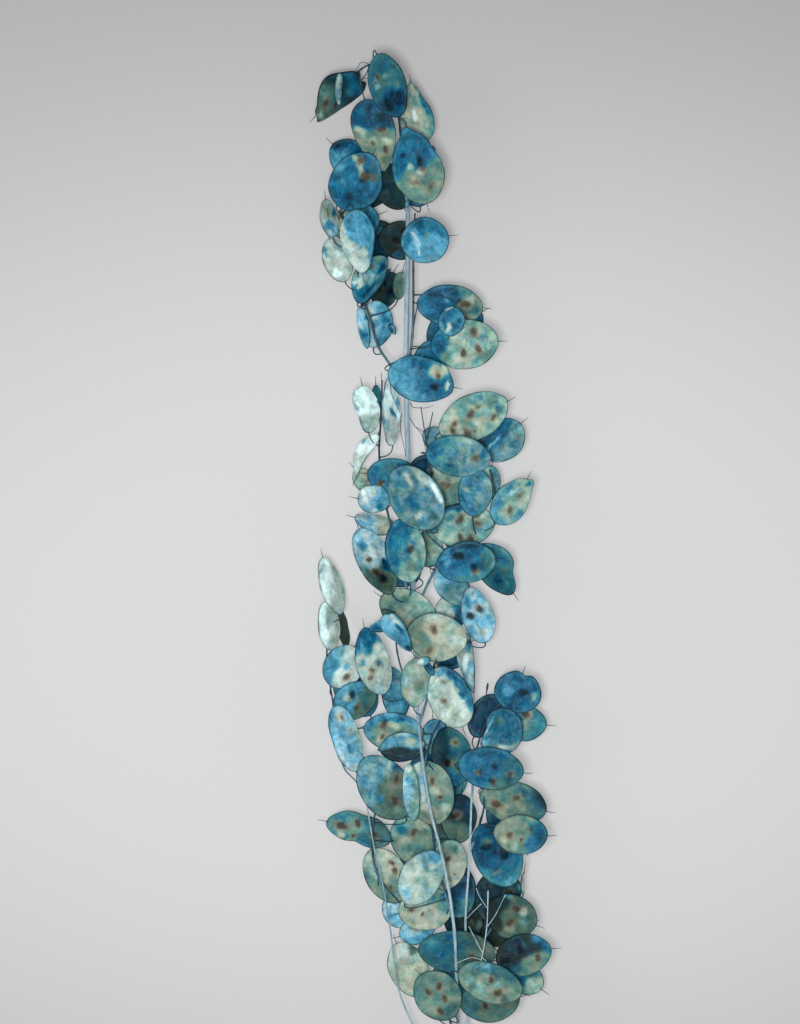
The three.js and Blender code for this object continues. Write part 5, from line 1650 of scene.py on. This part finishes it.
def crease_group() -> bpy.types.NodeTree:
    """Fine creases: thin lines where a warped noise passes its middle, over soft grain.

    Returns:
        A group with inputs Place and Scale, and outputs Height and Line.
    """
    group, g, ins, outs = new_group(
        "fine_creases", [("Place", VECTOR), ("Scale", FLOAT)],
        [("Height", FLOAT), ("Line", FLOAT)])
    place = g.add("ShaderNodeVectorMath", {0: ins.outputs[0], "Scale": ins.outputs[1]},
                  operation="SCALE").outputs[0]
    ridge = g.math("ABSOLUTE", g.math("SUBTRACT", g.noise(place, 95, 2.0, 0.5, 1.4), 0.5))
    line = g.step(ridge, 0.022, 0.0)
    grain = g.noise(place, 900, 3.0, 0.6)
    folds = g.noise(place, 210, 3.0, 0.6, 0.8)
    height = g.math("ADD", g.times(grain, 0.35), g.times(folds, 0.9))
    height = g.math("ADD", height, g.times(line, 0.35))
    g.give(outs, height, line)
    return group


def worn_group() -> bpy.types.NodeTree:
    """Patchy wear: a mask that is 1 in scattered spots.

    Returns:
        A group with inputs Place and Amount, and the output Mask.
    """
    group, g, ins, outs = new_group(
        "worn_spots", [("Place", VECTOR), ("Amount", FLOAT)], [("Mask", FLOAT)])
    spots = g.noise(ins.outputs[0], 330, 4.0, 0.65)
    mask = g.step(g.math("ADD", spots, g.times(ins.outputs[1], 0.3)), 0.62, 0.74)
    g.give(outs, mask)
    return group


@dataclass(frozen=True)
class Groups:
    """The node groups that the finishes share."""

    clouds: bpy.types.NodeTree
    creases: bpy.types.NodeTree
    worn: bpy.types.NodeTree


def new_material(name: str) -> tuple[bpy.types.Material, Graph]:
    """An empty material.

    Args:
        name: its name.

    Returns:
        The material and a Graph on its tree.
    """
    material = bpy.data.materials.new(name)
    material.use_nodes = True
    material.node_tree.nodes.clear()
    return material, Graph(material.node_tree)


@dataclass(frozen=True)
class PaperFinish:
    """Dyed papery valves: satin, a little see-through to light, with dark frames and seeds.

    White crease lines are painted highlights, and the olive and lightness marks are partly
    painted shade and light.
    """

    name: str
    cream: tuple = linear(186, 195, 174)
    mint: tuple = linear(120, 172, 158)
    teal: tuple = linear(54, 140, 154)
    blue: tuple = linear(12, 112, 148)
    deep: tuple = linear(0, 80, 114)
    navy: tuple = linear(0, 42, 68)
    ink: tuple = linear(0, 18, 30)
    olive: tuple = linear(62, 84, 62)
    white: tuple = linear(214, 232, 230)
    ice: tuple = linear(120, 196, 226)
    halo: tuple = linear(164, 138, 98)
    seed: tuple = linear(68, 60, 54)
    wet_seed: tuple = linear(4, 28, 40)
    frame: tuple = linear(8, 50, 64)
    spread: float = 0.42
    glow: float = 0.26
    alpha: float = 1.0
    crease_highlights: float = 0.06
    rough: tuple[float, float] = (0.36, 0.6)
    grain: tuple[float, float] = (0.00055, 0.0013)  # creases to a mm along and across
    smudges: float = 0.34
    tides: float = 0.10
    halos: float = 0.45
    stains: float = 0.86
    bump: tuple[float, float] = (0.5, 0.0006)  # strength, and height in metres

    def material(self, groups: Groups) -> bpy.types.Material:
        """Build the finish.

        Args:
            groups: the shared node groups.

        Returns:
            The material.
        """
        material, g = new_material(self.name)
        place = g.place()
        depth, tide, veil = g.group(groups.clouds, place, g.mark("dye"), self.spread)
        grained = g.add("ShaderNodeCombineXYZ", {
            0: g.times(g.mark("along"), self.grain[0]),
            1: g.times(g.mark("across"), self.grain[1])}).outputs[0]
        height, line = g.group(groups.creases, grained, 1.0)
        colour = g.ramp(depth, [(0.05, self.cream), (0.22, self.mint), (0.38, self.teal),
                                (0.55, self.blue), (0.72, self.deep), (0.88, self.navy),
                                (1.0, self.ink)])
        # Olive where the dye is light: partly the paper's own green tint, partly painted shade of
        # pods that lie behind others.
        cast = g.times(g.mark("cast"), g.step(depth, 0.7, 0.25), True)
        colour = g.mixed(cast, colour, self.olive)
        pale = g.mixed(g.step(depth, 0.15, 0.5), self.white, self.ice)
        milky = g.math("SUBTRACT", g.times(g.mark("bleach"), 1.5), g.step(
            g.noise(place, 190, 3.0, 0.6, 0.8), 0.62, 0.36, 0.0, 0.36), True)
        colour = g.mixed(milky, colour, pale)
        smudge = g.step(g.noise(place, 115, 3.0, 0.6, 0.7), 0.52, 0.68)
        colour = g.mixed(g.times(smudge, self.smudges), colour, g.mixed(
            g.step(depth, 0.1, 0.4), self.teal, self.deep))
        colour = g.mixed(g.times(tide, self.tides), colour, self.deep)
        # Painted highlights: white along the crease lines, where light would catch them.
        colour = g.mixed(g.times(line, self.crease_highlights), colour, self.white)
        ragged = g.times(g.mark("seed"),
                        g.step(g.noise(place, 330, 3.0, 0.6, 0.5), 0.3, 0.7, 0.85, 1.15))
        wet = g.step(depth, 0.26, 0.5)
        halo = g.mixed(wet, self.halo, self.deep)
        colour = g.mixed(g.times(g.step(g.mark("seed"), 0.02, 0.75), self.halos), colour, halo)
        stain = g.mixed(wet, self.seed, self.wet_seed)
        colour = g.mixed(g.times(g.step(ragged, 0.36, 0.85), self.stains), colour, stain)
        worn_rim = g.step(g.noise(place, 90, 2.0), 0.3, 0.7, 0.45, 0.95)
        rim = g.times(g.mark("rim"), worn_rim, True)
        colour = g.mixed(g.times(g.mark("rim"), -0.7, True), colour, self.mint)
        colour = g.mixed(rim, colour, self.frame)
        # Scaled by the lightness mark and the random veil: below 1 partly painted shade of pods
        # behind others, above 1 painted light on white pods.
        tone = g.times(g.mark("tone"), veil)
        grey = g.add("ShaderNodeCombineColor", {0: tone, 1: tone, 2: tone}).outputs[0]
        colour = g.mixed(1.0, colour, grey, "MULTIPLY")
        rough = g.step(g.noise(place, 240, 2.0), 0.3, 0.7, *self.rough)
        bump = g.bump(height, *self.bump)
        face = g.add("ShaderNodeBsdfPrincipled", {
            "Base Color": colour, "Roughness": rough, "Normal": bump,
            "Specular IOR Level": 0.1, "Alpha": self.alpha})
        back = g.add("ShaderNodeBsdfTranslucent", {"Color": colour, "Normal": bump})
        g.surface(g.add("ShaderNodeMixShader", {0: self.glow, 1: face.outputs[0],
                                                2: back.outputs[0]}))
        return material


@dataclass(frozen=True)
class WoodFinish:
    """Dyed wood of stem and stalks: pale blue-grey where old, dark as wire where thin."""

    name: str
    pale: tuple = linear(172, 196, 204)
    grey: tuple = linear(92, 136, 152)
    dark: tuple = linear(10, 50, 66)
    blot: tuple = linear(24, 96, 136)
    rough: tuple[float, float] = (0.45, 0.7)
    grain: float = 0.07  # how many times coarser the fibre is along Y
    spread: float = 0.45
    wear: float = 0.05
    bump: tuple[float, float] = (0.5, 0.0004)  # strength, and height in metres

    def material(self, groups: Groups) -> bpy.types.Material:
        """Build the finish.

        Args:
            groups: the shared node groups.

        Returns:
            The material.
        """
        material, g = new_material(self.name)
        place = g.place()
        grained = g.add("ShaderNodeMapping", {"Vector": place, "Scale": (1.0, self.grain, 1.0)}
                        ).outputs[0]
        depth = g.group(groups.clouds, grained, g.mark("age"), self.spread)[0]
        colour = g.ramp(depth, [(0.0, self.pale), (0.38, self.grey), (0.85, self.dark)])
        worn = g.group(groups.worn, place, self.wear)[0]
        colour = g.mixed(g.times(worn, 0.5), colour, self.blot)
        fibre = g.noise(grained, 1500, 3.0, 0.6)
        colour = g.mixed(g.step(fibre, 0.35, 0.75, 0.0, 0.55), colour, self.dark)
        rough = g.step(fibre, 0.3, 0.7, *self.rough)
        bump = g.bump(fibre, *self.bump)
        face = g.add("ShaderNodeBsdfPrincipled", {
            "Base Color": colour, "Roughness": rough, "Normal": bump,
            "Specular IOR Level": 0.4})
        g.surface(face)
        return material


# ---------------------------------------------------------------- the studio


@dataclass(frozen=True)
class Studio:
    """A plain pale surface, soft light and a camera that looks straight down.

    The surface glows as painted light, strongest under the plant, which washes out its shadows.
    """

    view_middle: tuple[float, float] = (-20.0, 325.3)  # in the plant's plan, mm
    view_height: float = 682.7  # mm of the plan from the bottom to the top of the frame
    eye_level: float = 35.0  # mm, height of the plan that the frame measures
    distance: float = 2400.0  # mm
    floor_grey: tuple = linear(155, 154, 154)
    # The floor's glow is painted light: strong under the plant, faint past both ends.
    floor_painted_light: tuple[float, float] = (0.29, 0.02)  # under the plant and past both ends
    floor_side: float = 6.0  # metres
    sensor: float = 36.0  # mm
    sky: float = 0.45
    lamps: tuple = (("key", (-0.16, -0.06, 2.2), (-0.1, -0.1, 0), 0.35, 38),
                    ("side", (-1.5, 0.5, 1.0), (0, 0, 0), 0.8, 6))

    def floor(self) -> bpy.types.Object:
        """The pale surface under the plant, with a faint grain.

        It glows as painted light, strongest under the plant and fading past both ends, which
        washes out the plant's shadows on it.

        Returns:
            A square at height 0.
        """
        half = self.floor_side / 2
        corners = [(half * x, half * y, 0) for x, y in ((-1, -1), (1, -1), (1, 1), (-1, 1))]
        mesh = bpy.data.meshes.new("floor")
        mesh.from_pydata(corners, [], [(0, 1, 2, 3)])
        material, g = new_material("floor_paper")
        place = g.place()
        grain = g.noise(place, 400, 3.0)
        colour = g.mixed(g.step(grain, 0.3, 0.7, 0.0, 0.04), self.floor_grey,
                         linear(200, 200, 202))
        pool = g.add("ShaderNodeMapping", {"Vector": place, "Location": (0.0, 0.02, 0.0),
                                           "Scale": (0.6, 1.0, 1.0)}).outputs[0]
        away = g.add("ShaderNodeVectorMath", {0: pool}, operation="LENGTH").outputs["Value"]
        face = g.add("ShaderNodeBsdfPrincipled", {
            "Base Color": colour, "Roughness": 0.9, "Specular IOR Level": 0.1,
            # Painted light: the floor glows, most under the plant, so that the plant's shadows on it
            # fade.
            "Emission Color": (1.0, 0.995, 0.995, 1.0),
            "Emission Strength": g.step(away, 0.12, 0.55, *self.floor_painted_light)})
        g.surface(face)
        mesh.materials.append(material)
        return linked("floor", mesh)

    def lamp(self, name: str, place: tuple[float, float, float], aim: tuple[float, float, float],
             size: float, power: float) -> None:
        """A square soft lamp.

        Args:
            name: its name.
            place: its middle, metres.
            aim: the point that it faces.
            size: its side, metres.
            power: watts.
        """
        light = bpy.data.lights.new(name, "AREA")
        light.shape, light.size, light.energy = "SQUARE", size, power
        thing = linked(name, light)
        gap = np.array(aim) - np.array(place)
        level = math.hypot(gap[0], gap[1])
        thing.location = place
        thing.rotation_euler = (math.atan2(level, -gap[2]), 0, math.atan2(gap[1], gap[0])
                                - math.pi / 2)

    def light(self) -> None:
        """An even pale world and two large lamps, the stronger at the left."""
        world = bpy.data.worlds.new("studio")
        bpy.context.scene.world = world
        world.use_nodes = True
        back = world.node_tree.nodes["Background"]
        back.inputs[0].default_value = linear(236, 240, 244)
        back.inputs[1].default_value = self.sky
        for lamp in self.lamps:
            self.lamp(*lamp)

    def camera(self) -> None:
        """A long lens straight over the plant, upright along it."""
        lens = bpy.data.cameras.new("camera")
        lens.sensor_width = lens.sensor_height = self.sensor
        lens.sensor_fit = "AUTO"
        lens.lens = self.sensor * self.distance / self.view_height
        lens.clip_end = 20
        thing = linked("camera", lens)
        middle = (np.array([*self.view_middle, self.eye_level + self.distance]) + SHIFT) * MM
        thing.location = tuple(middle)
        bpy.context.scene.camera = thing


# ---------------------------------------------------------------- the whole


@dataclass
class Plant:
    """The whole plant: limbs, sprays and the bare twig."""

    limbs: Limbs
    sprays: list[Spray]
    twig: BareTwig

    @staticmethod
    def grown() -> Plant:
        """The plant from its plan, with its pods laid.

        Returns:
            The plant; its pods are numbered from 1 and its flaps from FLAPS.
        """
        limbs = Limbs(LIMBS)
        sprays, index, extra = [], 0, FLAPS
        for name, plan in SPRAYS.items():
            pods = [Pod(row, index + n + 1) for n, row in enumerate(plan.pods)]
            flaps = [Pod(row, extra + n) for n, row in enumerate(plan.flaps)]
            index, extra = index + len(pods), extra + len(flaps)
            sprays.append(Spray(name, plan, pods, flaps))
        lay([pod for spray in sprays for pod in spray.pods + spray.flaps], limbs.samples())
        return Plant(limbs, sprays, BareTwig(BARE_TWIG))

    def dress(self) -> None:
        """Make every piece and stand it for its solid."""
        groups = Groups(cloud_group(), crease_group(), worn_group())
        paper = PaperFinish("dyed_paper").material(groups)
        clear = PaperFinish("clear_paper", alpha=0.80, crease_highlights=0.08, spread=0.4, glow=0.3,
                            rough=(0.25, 0.45)).material(groups)
        wood = WoodFinish("dyed_wood").material(groups)
        samples = self.limbs.samples()
        add_piece("stem_wood", self.limbs.surface(), wood, "stem")
        add_piece("bare_twig_wood", self.twig.surface(), wood, "bare_twig")
        for spray in self.sprays:
            add_piece(f"{spray.name}_pods", spray.papers(False), paper, spray.name)
            add_piece(f"{spray.name}_stalks", spray.stalks(samples), wood, spray.name)
            thin = spray.papers(True)
            if thin:
                add_piece(f"{spray.name}_clear_pods", thin, clear, spray.name)


def add_piece(name: str, surface: Surface, finish: bpy.types.Material,
              node: str) -> None:
    """Put a piece in the scene in place of a solid.

    Args:
        name: the piece's name.
        surface: its form.
        finish: its material.
        node: the solid that it stands for.
    """
    piece = surface.piece(name, finish)
    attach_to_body(piece, "root")
    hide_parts(node)
    log.info("%s: %d triangles", name, len(surface.triangles))


def main() -> None:
    """Build the plant and the studio."""
    logging.basicConfig(level=logging.INFO, format="%(message)s")
    studio = Studio()
    studio.camera()
    Plant.grown().dress()
    studio.floor()
    studio.light()
    bpy.context.scene.view_settings.view_transform = "Standard"


if __name__ == "__main__":
    main()
